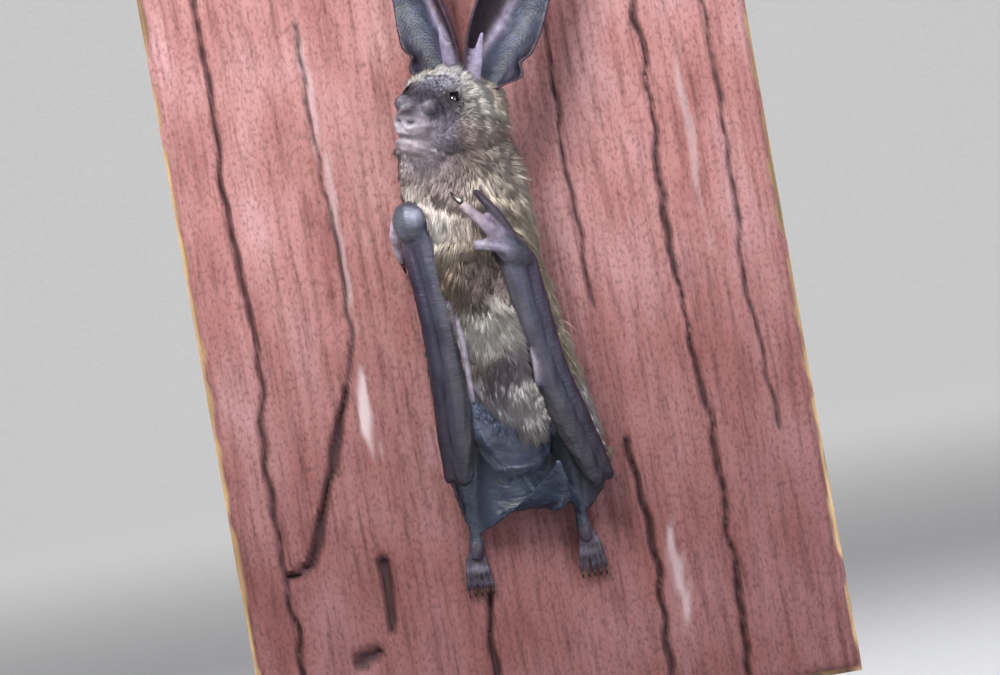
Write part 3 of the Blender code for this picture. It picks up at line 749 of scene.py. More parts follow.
# Inward of the crest the fold is darkened with painted shade.
EAR_INNER_FOLD = [(-0.5, "33202F"), (-0.3, "4A2F42"), (-0.12, "4E3144"), (-0.05, "3E2A3C"), (0.0, "5E6078")]
EAR_OUTER_PART = [
    (0.0, "4F5570"), (0.12, "4A5474"), (0.22, "5E6A8E"), (0.34, "4A5170"), (0.46, "50506A"), (0.56, "3C3149"),
]
# The crest's pale colour is partly its own and partly a painted highlight.
EAR_CREST = "C9BFD8"
EAR_BACK = "413140"
EAR_BACK_EDGE = "857E96"
# Where the crest runs: how far along the ear, and how far across it
CREST_ALONG = (0.0, 0.1, 0.2, 0.3, 0.45, 0.7, 1.0)
CREST_ACROSS = (0.08, 0.2, 0.38, 0.5, 0.6, 0.6, 0.5)
RIB_SPACING = 1.3


def blade_axes(side, v):
    """Up an ear, the way that its hollow opens, and its outer side, v of the way from root to tip."""
    outward, lean = OUTWARD[side], math.radians(EAR_LEAN[side])
    up = np.array((math.sin(lean), 0.0, math.cos(lean)))
    opens = math.radians(EAR_OPENS[side] - outward * EAR_TWIST * min(v / EAR_TWIST_OVER, 1.0))
    opening = np.array((-math.sin(opens), -math.cos(opens), 0.0))
    opening = unit(opening - up * opening.dot(up))
    return up, opening, np.cross(opening, up) * -outward


def ear_samples(side):
    """Over an ear's smooth blade: place, across it, its face's way, outer side, then u, v and half-width."""
    rows = np.array(EAR_ROWS)
    root = from_head(EAR_ROOT[side])
    samples = []
    for v in np.linspace(0.0, 1.0, 80):
        up, opening, outer = blade_axes(side, v)
        half, curl = curve_at(rows, v)
        middle = root + up * EAR_LENGTH * v + (0.0, 1.2 * v * v, 0.0) + outer * 1.5 * v * v
        for u in np.linspace(0.0, 1.0, 30):
            angle = (2.0 * u - 1.0) * curl
            bow = opening * (math.cos(curl * 0.6) - math.cos(angle)) + outer * math.sin(angle)
            across = outer * math.cos(angle) + opening * math.sin(angle)
            facing = opening * math.cos(angle) - outer * math.sin(angle)
            samples.append((*(middle + bow * half / curl), *across, *facing, *outer, u, v, half))
    return np.array(samples)


def beside_tragus(side, points):
    """How far each point is to the side of the tragus's edge: below zero on the tragus."""
    up, opening, outer = blade_axes(side, 0.0)
    apart = points - (from_head(EAR_ROOT[side]) + opening * 2.6 - outer * 2.1)
    return np.abs(apart @ outer) - np.interp(apart @ up, (0.0, 2.5, 5.1, 8.5), (1.3, 1.1, 0.8, 0.3))


def ear_look(side, points, normals):
    """How far to move each point of an ear, its colour with painted light and shade, and whether it is on the
    blade.
    """
    samples = ear_samples(side)
    near = samples[nearest_of(samples[:, :3], points)]
    across, facing, outer = near[:, 3:6], near[:, 6:9], near[:, 9:12]
    apart = points - near[:, :3]
    u = near[:, 12] + (apart * across).sum(axis=1) / (2.0 * near[:, 14])
    v = near[:, 13] + apart @ blade_axes(side, 0.0)[0] / EAR_LENGTH
    inside = smooth_step((normals * facing).sum(axis=1), -0.1, 0.3)
    # The faceted solid's surface is drawn onto the smooth blade, except at its edges.
    height = (apart * facing).sum(axis=1)
    within = between(u, 0.0, 0.07, 0.93, 1.0) * between(v, 0.0, 0.07, 0.92, 0.99)
    settle = facing * ((0.3 * np.tanh(height / 0.1) - height) * within)[:, None]
    from_crest = u - np.interp(v, CREST_ALONG, CREST_ACROSS)
    crest = bell(from_crest, 0.036) * between(v, 0.0, 0.05, 0.5, 0.85)
    ribs = np.sin(math.tau * (v * EAR_LENGTH / RIB_SPACING + 1.2 * (u - 0.6) ** 2))
    ribs *= between(u, 0.34, 0.5, 0.86, 0.97) * (1.0 - smooth_step(v, 0.85, 0.97))
    ribs *= smooth_step(from_crest, 0.03, 0.1)
    vein = wander(np.column_stack((u * 14.0, v * 9.0, u * 0.0)), 2.2, 61)
    rise = 0.04 * ribs + 0.42 * crest + 0.05 * bell(u - 0.95, 0.04)
    notch = bell(v - 0.15, 0.03) * smooth_step(u, 0.75, 1.0)
    lobe = bell(v - 0.07, 0.05) * smooth_step(u, 0.7, 1.0)
    tucked = smooth_step(u, 0.55, 1.0) * (1.0 - smooth_step(v, 0.0, 0.09))
    move = settle + normals * ((rise * inside + 0.02 * vein) * within)[:, None]
    move += outer * (0.35 * lobe - 1.0 * notch - 2.4 * tucked)[:, None]
    fold = colour_between(from_crest, EAR_INNER_FOLD)
    high = np.where(from_crest[:, None] < 0.0, fold, colour_between(from_crest, EAR_OUTER_PART))
    front = blend(colour_between(u, EAR_LOW), high, smooth_step(v, 0.05, 0.16)[:, None])
    front = front * (0.31 + 0.045 * ribs + 0.025 * vein)[:, None]
    front += 0.62 * crest[:, None] * linear(EAR_CREST)
    pale_edge = 0.85 * bell(u - 0.24, 0.08)[:, None]
    back = blend(linear(EAR_BACK), linear(EAR_BACK_EDGE), pale_edge)
    back *= (1.0 + 0.15 * vein)[:, None]
    on_blade = (np.linalg.norm(apart, axis=1) < 0.62) | (beside_tragus(side, points) > 0.15)
    return move, blend(back, front, inside[:, None]), on_blade


# Across the folded wing, from its inner edge to its outer one: the wing's dark skin, with a painted lit band
# down the forearm and painted shade over the folded fingers
WING_COLOURS_AND_SHADE = [
    (-1.0, "5C5A66"), (-0.7, "686673"), (-0.35, "57586E"),
    (0.05, "4A485F"), (0.35, "40354F"), (1.0, "372A43"),
]


def wing_colour_and_shade(side, points):
    """Dark wing skin, darkest along the outer edge where painted shade lies over the folded fingers, with a
    painted lit band down the forearm and painted shade that deepens downward.
    """
    wrist, elbow = np.array(WRIST[side]), np.array(ELBOW[side])
    down = np.clip((wrist[2] - points[:, 2]) / (wrist[2] - elbow[2]), -0.2, 1.1)
    aside = (points[:, 0] - wrist[0] - (elbow[0] - wrist[0]) * down) * OUTWARD[side] / 3.0
    return colour_between(aside, WING_COLOURS_AND_SHADE) * (0.44 - 0.18 * smooth_step(down, 0.0, 0.9))[:, None]


# The coat ends in front of the rump along a shallow V: its middle's x, lowest z, slope and highest z
RUMP_V = (2.9, -13.5, 0.93, -6.0)


def fur_ends(points, normals):
    """How bare the front of the rump is, where the coat gives way to the tail's skin."""
    middle, lowest, slope, highest = RUMP_V
    line = np.minimum(lowest + slope * np.abs(points[:, 0] - middle), highest)
    below = smooth_step(line + 0.7 * wander(points, 2.0, 71) - points[:, 2], -0.6, 0.9)
    inside_wing = 1.0 - smooth_step(points[:, 0], 7.5, 9.0)
    return below * smooth_step(-normals[:, 1], -0.8, -0.4) * inside_wing * (points[:, 2] < 0.0)


def press_folds(owned, points, normals):
    """Long pleats down the folded wings, and crumples in the tail's skin."""
    pleats = points * (1.3, 1.3, 0.12)
    cross = points * (0.4, 0.4, 1.6)
    wings = owned(both("forearm", "folded_fingers", "hand", "wing_membrane"))
    move = wings * (0.07 * wander(pleats, 1.1, 81) + 0.025 * wander(cross, 0.9, 82))
    tail = owned(["tail", *both("tail_membrane", "shin")])
    move += tail * (0.1 * wander(points, 1.9, 83) + 0.05 * wander(points, 0.8, 84))
    return points + normals * move[:, None]


# ---------------------------------------------------------------- markings


# Where each colour of the coat is strongest: middle, radius, colour. Some are painted highlights and shadows.
# The head's are places on it, and are alike on both sides.
HEAD_MARKS = {
    "crown": ((0.9, 3.7, 5.2), 2.0, "9F9B93"),
    "mid_crown": ((1.8, 0.0, 5.8), 1.6, "918F90"),
    "forehead": ((3.5, 0.8, 5.3), 1.3, "9896A4"),
    "temple": ((1.3, 6.1, 2.4), 1.8, "9F9A92"),
    "mask_top": ((4.8, 0.0, 4.3), 1.25, "35323D"),
    "mask_eye": ((5.4, 3.1, 3.0), 1.6, "27222B"),
    "mask_bridge": ((7.2, 0.5, 2.9), 1.25, "302B35"),
    "mask_tip": ((10.2, 0.5, 0.5), 0.8, "352D3A"),
    "before_eye": ((8.4, 3.3, 1.2), 1.0, "25212C"),
    "gland": ((8.8, 1.93, 1.94), 0.75, "86838D"),
    # painted highlight of the glare down the nose and lip, over pale skin
    "nose": ((10.7, 0.9, -1.6), 0.8, "BDB7C3"),
    # pale lilac lips, partly painted sheen of the light on the bare muzzle
    "lip_side": ((9.6, 2.2, -1.6), 0.9, "A79EAA"),
    "lip_back": ((6.9, 3.3, -1.7), 1.5, "978D98"),
    "under_eye": ((6.2, 4.0, 0.6), 1.2, "4B4751"),
    "jaw_front": ((8.9, 0.6, -3.9), 1.2, "9E959B"),
    "mouth_corner": ((3.4, 3.6, -4.2), 1.3, "5B525B"),
    "jaw_angle": ((1.6, 5.2, -5.2), 1.3, "63574F"),
    "chin": ((4.6, 1.2, -6.0), 1.7, "C6B9BB"),
    "cheek": ((2.4, 6.0, -1.3), 1.7, "97887F"),
    "nape": ((-6.0, 2.0, 1.0), 3.6, "8F8170"),
}
BODY_MARKS = {
    "throat": ((-3.2, -15.2, 24.2), 2.2, "80736F"),
    "neck_right": ((-7.6, -12.5, 22.6), 2.2, "A3978F"),
    "neck_band": ((1.2, -15.8, 21.6), 1.5, "C4BAAA"),
    "neck_left": ((4.4, -12.5, 24.0), 2.4, "8E857A"),
    "neck_edge": ((8.0, -8.0, 21.0), 3.0, "ABA497"),
    # painted highlight on the upper chest, over pale fur
    "chest": ((-5.7, -14.2, 17.2), 2.0, "EAE3D6"),
    "mid_chest": ((-2.4, -16.0, 18.6), 1.8, "A99C93"),
    "under_chest": ((-4.4, -15.0, 13.4), 1.7, "8A7E6D"),
    "breast_left": ((5.5, -14.0, 15.0), 2.6, "9D937F"),
    # painted shadow under the left hand, in three spots
    "dark_breast": ((-1.2, -16.2, 10.2), 2.0, "4F4545"),
    "dark_breast_2": ((2.6, -16.0, 7.0), 2.1, "514847"),
    "dark_breast_3": ((-2.4, -15.6, 6.4), 1.7, "544B49"),
    "pale_belly": ((0.4, -15.2, 2.2), 1.7, "BAB7AD"),
    "pale_belly_2": ((-3.2, -14.8, 1.2), 1.8, "B5B5AE"),
    "pale_belly_3": ((3.4, -14.8, 1.2), 1.8, "AFADA4"),
    "dark_wedge": ((2.2, -14.0, -3.4), 1.9, "685E68"),
    "dark_wedge_2": ((-1.6, -13.8, -6.2), 1.8, "665C65"),
    "lower_belly": ((3.6, -12.0, -9.5), 2.6, "C2BFBA"),
    "lower_belly_2": ((-2.6, -12.6, -9.8), 2.0, "9F9D9C"),
    "vent": ((-0.5, -11.9, -12.0), 2.0, "9E9D9F"),
    "hip_left": ((7.0, -9.0, -14.0), 3.0, "A6A49F"),
    "flank_right": ((-9.0, -8.0, 2.0), 4.0, "9B8E7E"),
    "flank_left": ((9.0, -8.0, 3.0), 4.5, "9B907C"),
    "back": ((-0.7, -1.0, 8.0), 8.0, "85745F"),
    "rump_back": ((-0.7, -2.0, -14.0), 7.0, "74685B"),
}


def marking_colour(points):
    """The coat's colour at bat-frame points, as linear red, green and blue."""
    head_place = on_head(points)
    head_place[:, 1] = np.abs(head_place[:, 1])
    total = np.full(len(points), 1e-9)
    colour = np.zeros((len(points), 3))
    for marks, place in ((HEAD_MARKS, head_place), (BODY_MARKS, points)):
        for centre, radius, shade in marks.values():
            weight = spot(place, centre, radius)
            colour += weight[:, None] * linear(shade)
            total += weight
    return colour / total[:, None]


def labelled_tree(node_names):
    """A search tree over CAD nodes, and the index of the node that each of its faces belongs to."""
    corners, faces, owners = [], [], []
    for index, name in enumerate(node_names):
        mesh = nodes[name].data
        start = len(corners)
        corners += [vert.co.copy() for vert in mesh.vertices]
        faces += [tuple(start + i for i in polygon.vertices) for polygon in mesh.polygons]
        owners += [index] * len(mesh.polygons)
    return BVHTree.FromPolygons(corners, faces), np.array(owners)


def nearest_faces(tree, points):
    """The nearest face of the tree to each bat-frame point, and how far it is in millimetres."""
    found = [tree.find_nearest(Vector(p)) for p in world(points)]
    return np.array([hit[2] for hit in found]), np.array([hit[3] for hit in found]) / MM


def blurred(obj, values, passes):
    """Values on the points of a mesh, each averaged with its neighbours this many times."""
    one, other = read(obj.data.edges, "vertices", 2, np.int32).T
    count = len(values)
    degree = np.bincount(np.concatenate((one, other)), minlength=count) + 1.0
    for _ in range(passes):
        sums = [
            np.bincount(one, column[other], count) + np.bincount(other, column[one], count) + column
            for column in values.T
        ]
        values = np.column_stack(sums) / degree[:, None]
    return values


# ---------------------------------------------------------------- limbs, feet and toe claws


def curve_at(rows, place):
    """The smooth curve through equally spaced rows, at place 0 to 1."""
    span = place * (len(rows) - 1)
    index = min(int(span), len(rows) - 2)
    t = span - index
    before, start = rows[max(index - 1, 0)], rows[index]
    end, after = rows[index + 1], rows[min(index + 2, len(rows) - 1)]
    return 0.5 * (
        2 * start + (end - before) * t + (2 * before - 5 * start + 4 * end - after) * t**2
        + (3 * start - before - 3 * end + after) * t**3
    )


def tube(rows, sides=10, rings=24):
    """Points and faces of a closed round limb through rows of (x, y, z, half-width), with domed ends."""
    rows = np.asarray(rows, float)
    samples = np.array([curve_at(rows, place) for place in np.linspace(0.0, 1.0, rings)])
    centres, halves = samples[:, :3], samples[:, 3]
    tangents = unit(np.gradient(centres, axis=0))
    across = unit(np.cross(tangents, (0.3, 1.0, 0.1)))
    above = np.cross(tangents, across)
    ends = ((centres[0] - tangents[0] * halves[0] * 0.8), (centres[-1] + tangents[-1] * halves[-1] * 0.8))
    angles = np.linspace(0.0, math.tau, sides, endpoint=False)
    ring = np.cos(angles)[None, :, None] * across[:, None] + np.sin(angles)[None, :, None] * above[:, None]
    body = (centres[:, None] + ring * halves[:, None, None]).reshape(-1, 3)
    faces = []
    for i in range(rings - 1):
        for k in range(sides):
            low, next_low = i * sides + k, i * sides + (k + 1) % sides
            faces.append((low, next_low, next_low + sides, low + sides))
    first, last, last_ring = len(body), len(body) + 1, (rings - 1) * sides
    for k in range(sides):
        after = (k + 1) % sides
        faces += [(after, k, first), (last_ring + k, last_ring + after, last)]
    return np.vstack((body, ends)), faces


def piece_from_tubes(name, tubes):
    """One object from several closed limbs."""
    all_points, all_faces, start = [], [], 0
    for points, faces in tubes:
        all_points.append(points)
        all_faces += [tuple(start + i for i in face) for face in faces]
        start += len(points)
    mesh = bpy.data.meshes.new(name)
    mesh.from_pydata([Vector(p) for p in world(np.vstack(all_points))], [], all_faces)
    piece = new_piece(name, mesh)
    enter_edit(piece, "SELECT")
    bpy.ops.mesh.normals_make_consistent(inside=False)
    leave_edit()
    mesh.shade_smooth()
    return piece


def toe_line(side, index):
    """How one toe runs from the sole: rows of (x, y, z, half-width), with its two joints swollen."""
    x, y, z = HEEL[side]
    outward = OUTWARD[side]
    place = index - (TOES - 1) / 2
    x += outward * 0.6 + place * 0.68
    fan = place * 0.13
    return [
        (x - place * 0.12, y + 0.45, z - 2.9, 0.42),
        (x, y + 0.3, z - 4.2, 0.36),
        (x + fan * 0.6, y + 0.1, z - 5.1, 0.4),
        (x + fan, y + 0.2, z - 6.0, 0.31),
        (x + fan * 1.5, y + 0.45, z - 6.8, 0.36),
        (x + fan * 1.7, y + 0.8, z - 7.5, 0.3),
    ]


# Rows of a foot from its heel: outward, into the board, up and half-width
ANKLE = [
    (0.0, 0.0, 2.2, 0.85), (0.0, 0.0, 0.6, 1.05), (0.1, 0.0, -0.8, 1.15), (0.2, 0.0, -1.8, 1.1),
    (0.4, 0.25, -2.9, 0.95),
]
SOLE = [(0.1, 0.2, -0.8, 0.7), (0.5, 0.4, -2.4, 0.62), (0.6, 0.45, -3.8, 0.5)]
SOLE_SPREAD = (0.25, 0.6, 0.95)  # of the sole's side ridges at those rows


def build_foot(side):
    """Heel, sole and five long toes, fused."""
    x, y, z = HEEL[side]
    outward = OUTWARD[side]
    limbs = [[(x + outward * out, y + into, z + up, half) for out, into, up, half in ANKLE]]
    for ridge in (-1.0, 0.0, 1.0):
        limbs.append([
            (x + outward * out + ridge * spread, y + into, z + up, half)
            for (out, into, up, half), spread in zip(SOLE, SOLE_SPREAD)
        ])
    limbs += [toe_line(side, index) for index in range(TOES)]
    foot = piece_from_tubes("foot_" + side, [tube(rows) for rows in limbs])
    finish_with(foot, "REMESH", mode="VOXEL", voxel_size=FOOT_VOXEL * MM, use_smooth_shade=True)
    finish_with(foot, "SMOOTH", factor=0.5, iterations=3)
    return foot


# Rows of a claw from the toe's tip: into the board, up and half-width
TOE_CLAW = [(-0.05, 0.15, 0.2), (0.0, -0.55, 0.2), (0.35, -1.05, 0.14), (0.8, -1.25, 0.04)]


def build_toe_claws(side):
    """Five slim hooked claws that reach back to the board."""
    tubes = []
    for index in range(TOES):
        x, y, z, _ = toe_line(side, index)[-1]
        tubes.append(tube([(x, y + into, z + up, half) for into, up, half in TOE_CLAW], 8, 10))
    dress(piece_from_tubes("toe_claws_" + side, tubes), "claw", [CLAW])


# ---------------------------------------------------------------- the whole skin


def heal(piece, region):
    """Smooths away small pits in the region, where the surface turns sharply from its surroundings."""
    points, normals = places_of(piece), normals_of(piece)
    around = unit(blurred(piece, normals, 12))
    stray = region & ((normals * around).sum(axis=1) < 0.8)
    weight = np.clip(3.0 * blurred(piece, stray[:, None] * 1.0, 5), 0.0, 1.0)
    set_places(piece, blend(points, blurred(piece, points, 16), weight))


def join_flesh():
    """One closed mesh of all the flesh, its feet and its lids, finer at the muzzle, and how the eyes face."""
    skin = fused_copy("skin", FLESH, SKIN_VOXEL, 5)
    for side in SIDES:
        foot = build_foot(side)
        finish_with(skin, "BOOLEAN", operation="UNION", object=foot, solver="MANIFOLD")
        bpy.data.objects.remove(foot)
    eyes_face = {side: add_lids(skin, side) for side in SIDES}
    keep_outside(skin)
    finish_with(skin, "DECIMATE", ratio=SKIN_TRIANGLES / sum(len(p.vertices) - 2 for p in skin.data.polygons))
    refine(skin, from_head((7.0, 0.0, -0.5)), 6.5)
    refine(skin, from_head((10.4, 0.0, -0.8)), 2.6)
    return skin, eyes_face


def sink_under_coat(skin, is_core, feet):
    """Draws the skin in under the coat. Returns how deep, and how far each point is from the bare parts."""
    points = places_of(skin)
    to_bare = np.zeros(len(points))
    to_bare[is_core] = nearest_faces(labelled_tree(list(BARE_NODES))[0], points[is_core])[1]
    depth = coat_depth_at(points, to_bare) * is_core
    sink = INFLATE * np.where(feet, 0.0, 1.0) + depth
    sink = blurred(skin, sink[:, None], 3)[:, 0]
    set_places(skin, points - normals_of(skin) * sink[:, None])
    muzzle = (on_head(places_of(skin))[:, 0] > 5.6) & (points[:, 2] > 22.0)
    for _ in range(2):
        heal(skin, muzzle)
    return depth, to_bare


def press_eye(side, facing, points):
    """Dips the skin under the eyeball, inside the lids."""
    apart = points - eye_centre(side)
    ahead = apart @ facing
    beside = np.linalg.norm(apart - ahead[:, None] * facing, axis=1)
    dip = (ahead > -0.5) & (ahead < 1.6) & (beside < 0.52)
    points[dip] -= facing * np.maximum(ahead[dip] - 0.35, 0.0)[:, None]


def skin_tint(colour, points, is_core, feet, skin_face, bare_rump, pit_shade):
    """Lays patches (some painted highlights and shadows), feet, face, the hide under the fur, painted shade in
    the mouth line and nostrils, and lids over the tint of the bare parts.
    """
    for centre, radius, shade in BARE_PATCHES:
        colour = blend(colour, linear(shade), spot(points, centre, radius)[:, None])
    toes = 1.0 + 0.5 * wander(points, 1.3, 6)
    colour[feet] = (linear(FOOT_TINT) * toes[:, None])[feet]
    marks = marking_colour(points)
    under_fur = blend(marks * 0.4, linear(RUMP_TINT), bare_rump[:, None])
    mottled = marks * (0.8 + 0.12 * wander(points, 1.2, 5))[:, None]
    colour[is_core] = blend(under_fur, mottled, skin_face[:, None])[is_core]
    # Painted shade in the mouth line and nostrils.
    colour *= 1.0 - 0.85 * pit_shade[:, None]
    for side in SIDES:
        lid = np.exp(-((distance(points, eye_centre(side)) / 1.35) ** 4))[:, None]
        colour = blend(colour, linear(LID_TINT), lid)
    return colour


def furred_triangles(skin, is_core):
    """The corners of the skin's triangles that the coat grows from."""
    skin.data.calc_loop_triangles()
    corners = read(skin.data.loop_triangles, "vertices", 3, np.int32)
    return corners[is_core[corners].all(axis=1)]


def build_skin():
    """The whole bat's skin as one closed piece. Returns what the coat needs to grow from its furred part."""
    skin, eyes_face = join_flesh()
    points = places_of(skin)
    tree, owners = labelled_tree(FLESH)
    owner = owners[nearest_faces(tree, points)[0]]
    feet = points[:, 2] < HEEL["right"][2] - 0.6
    is_core = (owner < len(CORE_NODES)) & ~feet

    def owned(names):
        return np.isin(owner, [FLESH.index(name) for name in names]) & ~feet

    depth, to_bare = sink_under_coat(skin, is_core, feet)
    pit_shade = shape_face(skin)
    points, normals = places_of(skin), normals_of(skin)
    skin_face = smooth_step(on_head(points)[:, 0], 5.5, 7.5) * (points[:, 2] > 22.0) * is_core
    tints = np.array([linear(BARE_NODES[name][0]) if name in BARE_NODES else (0, 0, 0) for name in FLESH])
    colour = tints[owner] * (1.0 + 0.12 * wander(points, 3.0, 3))[:, None]
    points = press_folds(owned, points, normals)
    for side in SIDES:
        ear = np.flatnonzero(owned(["ear_" + side, "tragus_" + side]))
        blade = owned(["ear_" + side])[ear]
        move, shade, on_blade = ear_look(side, points[ear], normals[ear])
        on_blade |= blade
        colour[ear[on_blade]] = shade[on_blade]
        points[ear[blade]] += move[blade]
        wing = owned(["forearm_" + side, "folded_fingers_" + side])
        colour[wing] = wing_colour_and_shade(side, points[wing])
        press_eye(side, eyes_face[side], points)
    ears = owned(both("ear", "tragus"))
    points[ears] = blurred(skin, points, 2)[ears]
    set_places(skin, points)
    points, normals = places_of(skin), normals_of(skin)
    bare_rump = fur_ends(points, normals) * is_core
    colour = skin_tint(colour, points, is_core, feet, skin_face, bare_rump, pit_shade)
    set_tint(skin, np.clip(blurred(skin, colour, 2), 0.0, 1.0))
    slots = np.array([BARE_NODES[name][1] if name in BARE_NODES else HIDE for name in FLESH])
    slot = slots[owner]
    slot[is_core & (skin_face > 0.5)] = FACE
    slot[is_core & (bare_rump > 0.5)] = WING
    slot[feet] = FACE
    dress(skin, "dark_skin", SKIN_MATERIALS, *CORE_NODES, *BARE_NODES, *both("foot"))
    skin.data.polygons.foreach_set("material_index", [slot[p.vertices[0]] for p in skin.data.polygons])
    skin.data.shade_smooth()
    triangles = furred_triangles(skin, is_core)
    return {"points": points, "normals": normals, "depth": depth, "to_bare": to_bare, "triangles": triangles}


# ---------------------------------------------------------------- coat


NOSE = from_head((10.5, 0.0, -0.5))
PATCH = 0.003  # how wide a hair is on the coat's bake map
MOST_HAIRS = 19500  # in one piece of the coat
HAIRS_TO_A_LOCK = 16
HAIR_WIDTH = 0.125
FUZZ_TINT = "6C7488"
ROOT_TINT = "36303A"
COAT_REGIONS = [
    "face", "crown", "nape", "throat", "neck", "chest", "breast", "belly", *both("flank"), "back",
]


def lie_of(points, normals):
    """The way the hair lies at each point: back from the nose on the head, down the body below it."""
    down = np.tile((0.0, 0.0, -1.0), (len(points), 1))
    down[:, 0] += 0.03 * (points[:, 0] - BODY_AXIS_X)
    from_nose = unit(points - NOSE) + (0.0, 0.0, -0.35)
    flow = blend(unit(down), unit(from_nose), smooth_step(points[:, 2], 21.0, 28.0)[:, None])
    turn = 0.45 * wander(points, 7.0, 11) + 0.3 * wander(points, 2.2, 12)
    flow = unit(flow - normals * (flow * normals).sum(axis=1, keepdims=True))
    across = np.cross(normals, flow)
    return unit(flow * np.cos(turn)[:, None] + across * np.sin(turn)[:, None])


def grow_roots(furred, density):
    """Random roots over the furred skin, with about as many on each square millimetre as the density says."""
    triangles = furred["triangles"]
    corners = furred["points"][triangles]
    first, second = corners[:, 1] - corners[:, 0], corners[:, 2] - corners[:, 0]
    area = 0.5 * np.linalg.norm(np.cross(first, second), axis=1)
    normal = unit(furred["normals"][triangles].mean(axis=1))
    wanted = area * density(corners.mean(axis=1), normal, furred["to_bare"][triangles].mean(axis=1))
    count = np.floor(wanted + chance.random(len(wanted))).astype(int)
    chosen = triangles[np.repeat(np.arange(len(triangles)), count)]
    share = chance.dirichlet((1.0, 1.0, 1.0), len(chosen))

    def weigh(values):
        return (values[chosen] * (share if values.ndim == 1 else share[:, :, None])).sum(axis=1)

    root, normal, depth, to_bare = (weigh(furred[name]) for name in ("points", "normals", "depth", "to_bare"))
    return root, unit(normal), depth, to_bare


def hair_density(points, normals, to_bare):
    """Hairs on each square millimetre: dense on face and front, sparse where the back lies on the board."""
    forward, left, up = on_head(points).T
    on_the_head = head_share(points)
    front = smooth_step(-normals[:, 1], -0.6, 0.3)
    dense = 14.0 + 58.0 * front + 24.0 * on_the_head
    dense += 60.0 * smooth_step(forward, 2.0, 5.0) * on_the_head
    place = np.column_stack((forward, np.abs(left), up))
    dense *= smooth_step(distance(place, EYE_PLACE), 1.25, 1.55)
    dense *= smooth_step(distance(place, GLAND), 0.5, 1.2)
    muzzle = smooth_step(forward + 0.7 * np.clip(0.6 - up, 0.0, 2.5), 7.6, 9.5) * on_the_head
    dense *= 1.0 - fur_ends(points, normals) * (0.35 + 0.65 * smooth_step(-points[:, 2], 16.5, 18.8))
    beneath = smooth_step(-normals[:, 2], 0.2, 0.5) * (points[:, 2] < -13.0)
    behind_wing = (points[:, 2] < -11.0) & (points[:, 0] < -3.2) & (normals[:, 1] < 0.4)
    return dense * (1.0 - muzzle) * (1.0 - beneath) * ~behind_wing * smooth_step(to_bare, 0.15, 0.6)


def hair_mesh(name, root, middle, tip, across, above, width, colours):
    """Joined three-sided hairs, each a closed sliver that bends once, with its own patch on the bake map."""
    count = len(root)
    rings = []
    for centre, half in ((root, width * 0.5), (middle, width * 0.42)):
        for angle in np.radians((90.0, 210.0, 330.0)):
            rings.append(centre + (across * math.cos(angle) + above * math.sin(angle)) * half[:, None])
    points = np.stack((*rings, tip), axis=1)
    faces = [(0, 1, 4, 3), (1, 2, 5, 4), (2, 0, 3, 5), (3, 4, 6), (4, 5, 6), (5, 3, 6), (2, 1, 0)]
    outline = np.concatenate([np.array(face) for face in faces])
    starts = np.concatenate(([0], np.cumsum([len(face) for face in faces])[:-1]))
    hair = np.arange(count)[:, None]
    mesh = bpy.data.meshes.new(name)
    mesh.vertices.add(count * 7)
    mesh.vertices.foreach_set("co", world(points.reshape(-1, 3)).astype(np.float32).ravel())
    mesh.loops.add(count * len(outline))
    mesh.loops.foreach_set("vertex_index", (hair * 7 + outline).astype(np.int32).ravel())
    mesh.polygons.add(count * len(faces))
    mesh.polygons.foreach_set("loop_start", (hair * len(outline) + starts).astype(np.int32).ravel())
    mesh.update(calc_edges=True)
    mesh.validate()
    mesh.shade_smooth()
    uv = mesh.uv_layers.new(name="OFBake")
    place = np.column_stack((np.arctan2(root[:, 1] + 8.5, root[:, 0] - BODY_AXIS_X), root[:, 2]))
    place = (place - place.min(axis=0)) / np.maximum(np.ptp(place, axis=0), 1e-6) * (1.0 - 3 * PATCH) + PATCH
    corner = [(0.0, 0.0), (0.5, 0.0), (1.0, 0.0), (0.0, 0.6), (0.5, 0.6), (1.0, 0.6), (0.5, 1.0)]
    corner = np.array(corner)[outline] * PATCH
    uv.uv.foreach_set("vector", (place[:, None, :] + corner[None]).astype(np.float32).ravel())
    piece = new_piece(name, mesh)
    set_tint(piece, colours.reshape(-1, 3))
    dress(piece, "coat", [FUR])


def region_of(points, normals):
    """Which piece of the coat each root belongs to, as an index into COAT_REGIONS."""
    forward = on_head(points)[:, 0]
    x, y, z = points.T
    front = normals[:, 1] < -0.35
    region = np.full(len(points), COAT_REGIONS.index("back"))
    rules = [
        ("flank_right", (x < BODY_AXIS_X) & (normals[:, 1] < 0.45)),
        ("flank_left", (x >= BODY_AXIS_X) & (normals[:, 1] < 0.45)),
        ("belly", front & (z < -2.0)),
        ("breast", front & (z >= -2.0) & (z < 9.0)),
        ("chest", front & (z >= 9.0) & (z < 19.0)),
        ("neck", (z >= 19.0)),
        ("throat", front & (z >= 19.0)),
        ("nape", (z > 27.5) & (forward < -1.0)),
        ("crown", (z > 27.5) & (forward >= -1.0)),
        ("face", (z > 24.0) & (forward >= 3.6)),
    ]
    for name, chosen in rules:
        region[chosen] = COAT_REGIONS.index(name)
    return region


def coat_length(root, to_bare, fuzz):
    """How long each hair is before chance: shortest on the muzzle, short by bare parts and on the rump."""
    forward = on_head(root)[:, 0]
    on_the_head = head_share(root)
    length = 4.6 - 1.6 * on_the_head
    for shortened, low, high in ((1.25, 1.5, 5.5), (0.55, 5.5, 7.5)):
        length = length - (length - shortened) * smooth_step(forward, low, high) * on_the_head
    length *= 0.45 + 0.55 * smooth_step(to_bare, 0.2, 2.0)
    return length * ((1.0 - 0.72 * fuzz) * (1.0 - 0.4 * (root[:, 2] < -13.0) * (root[:, 0] > 8.0)))


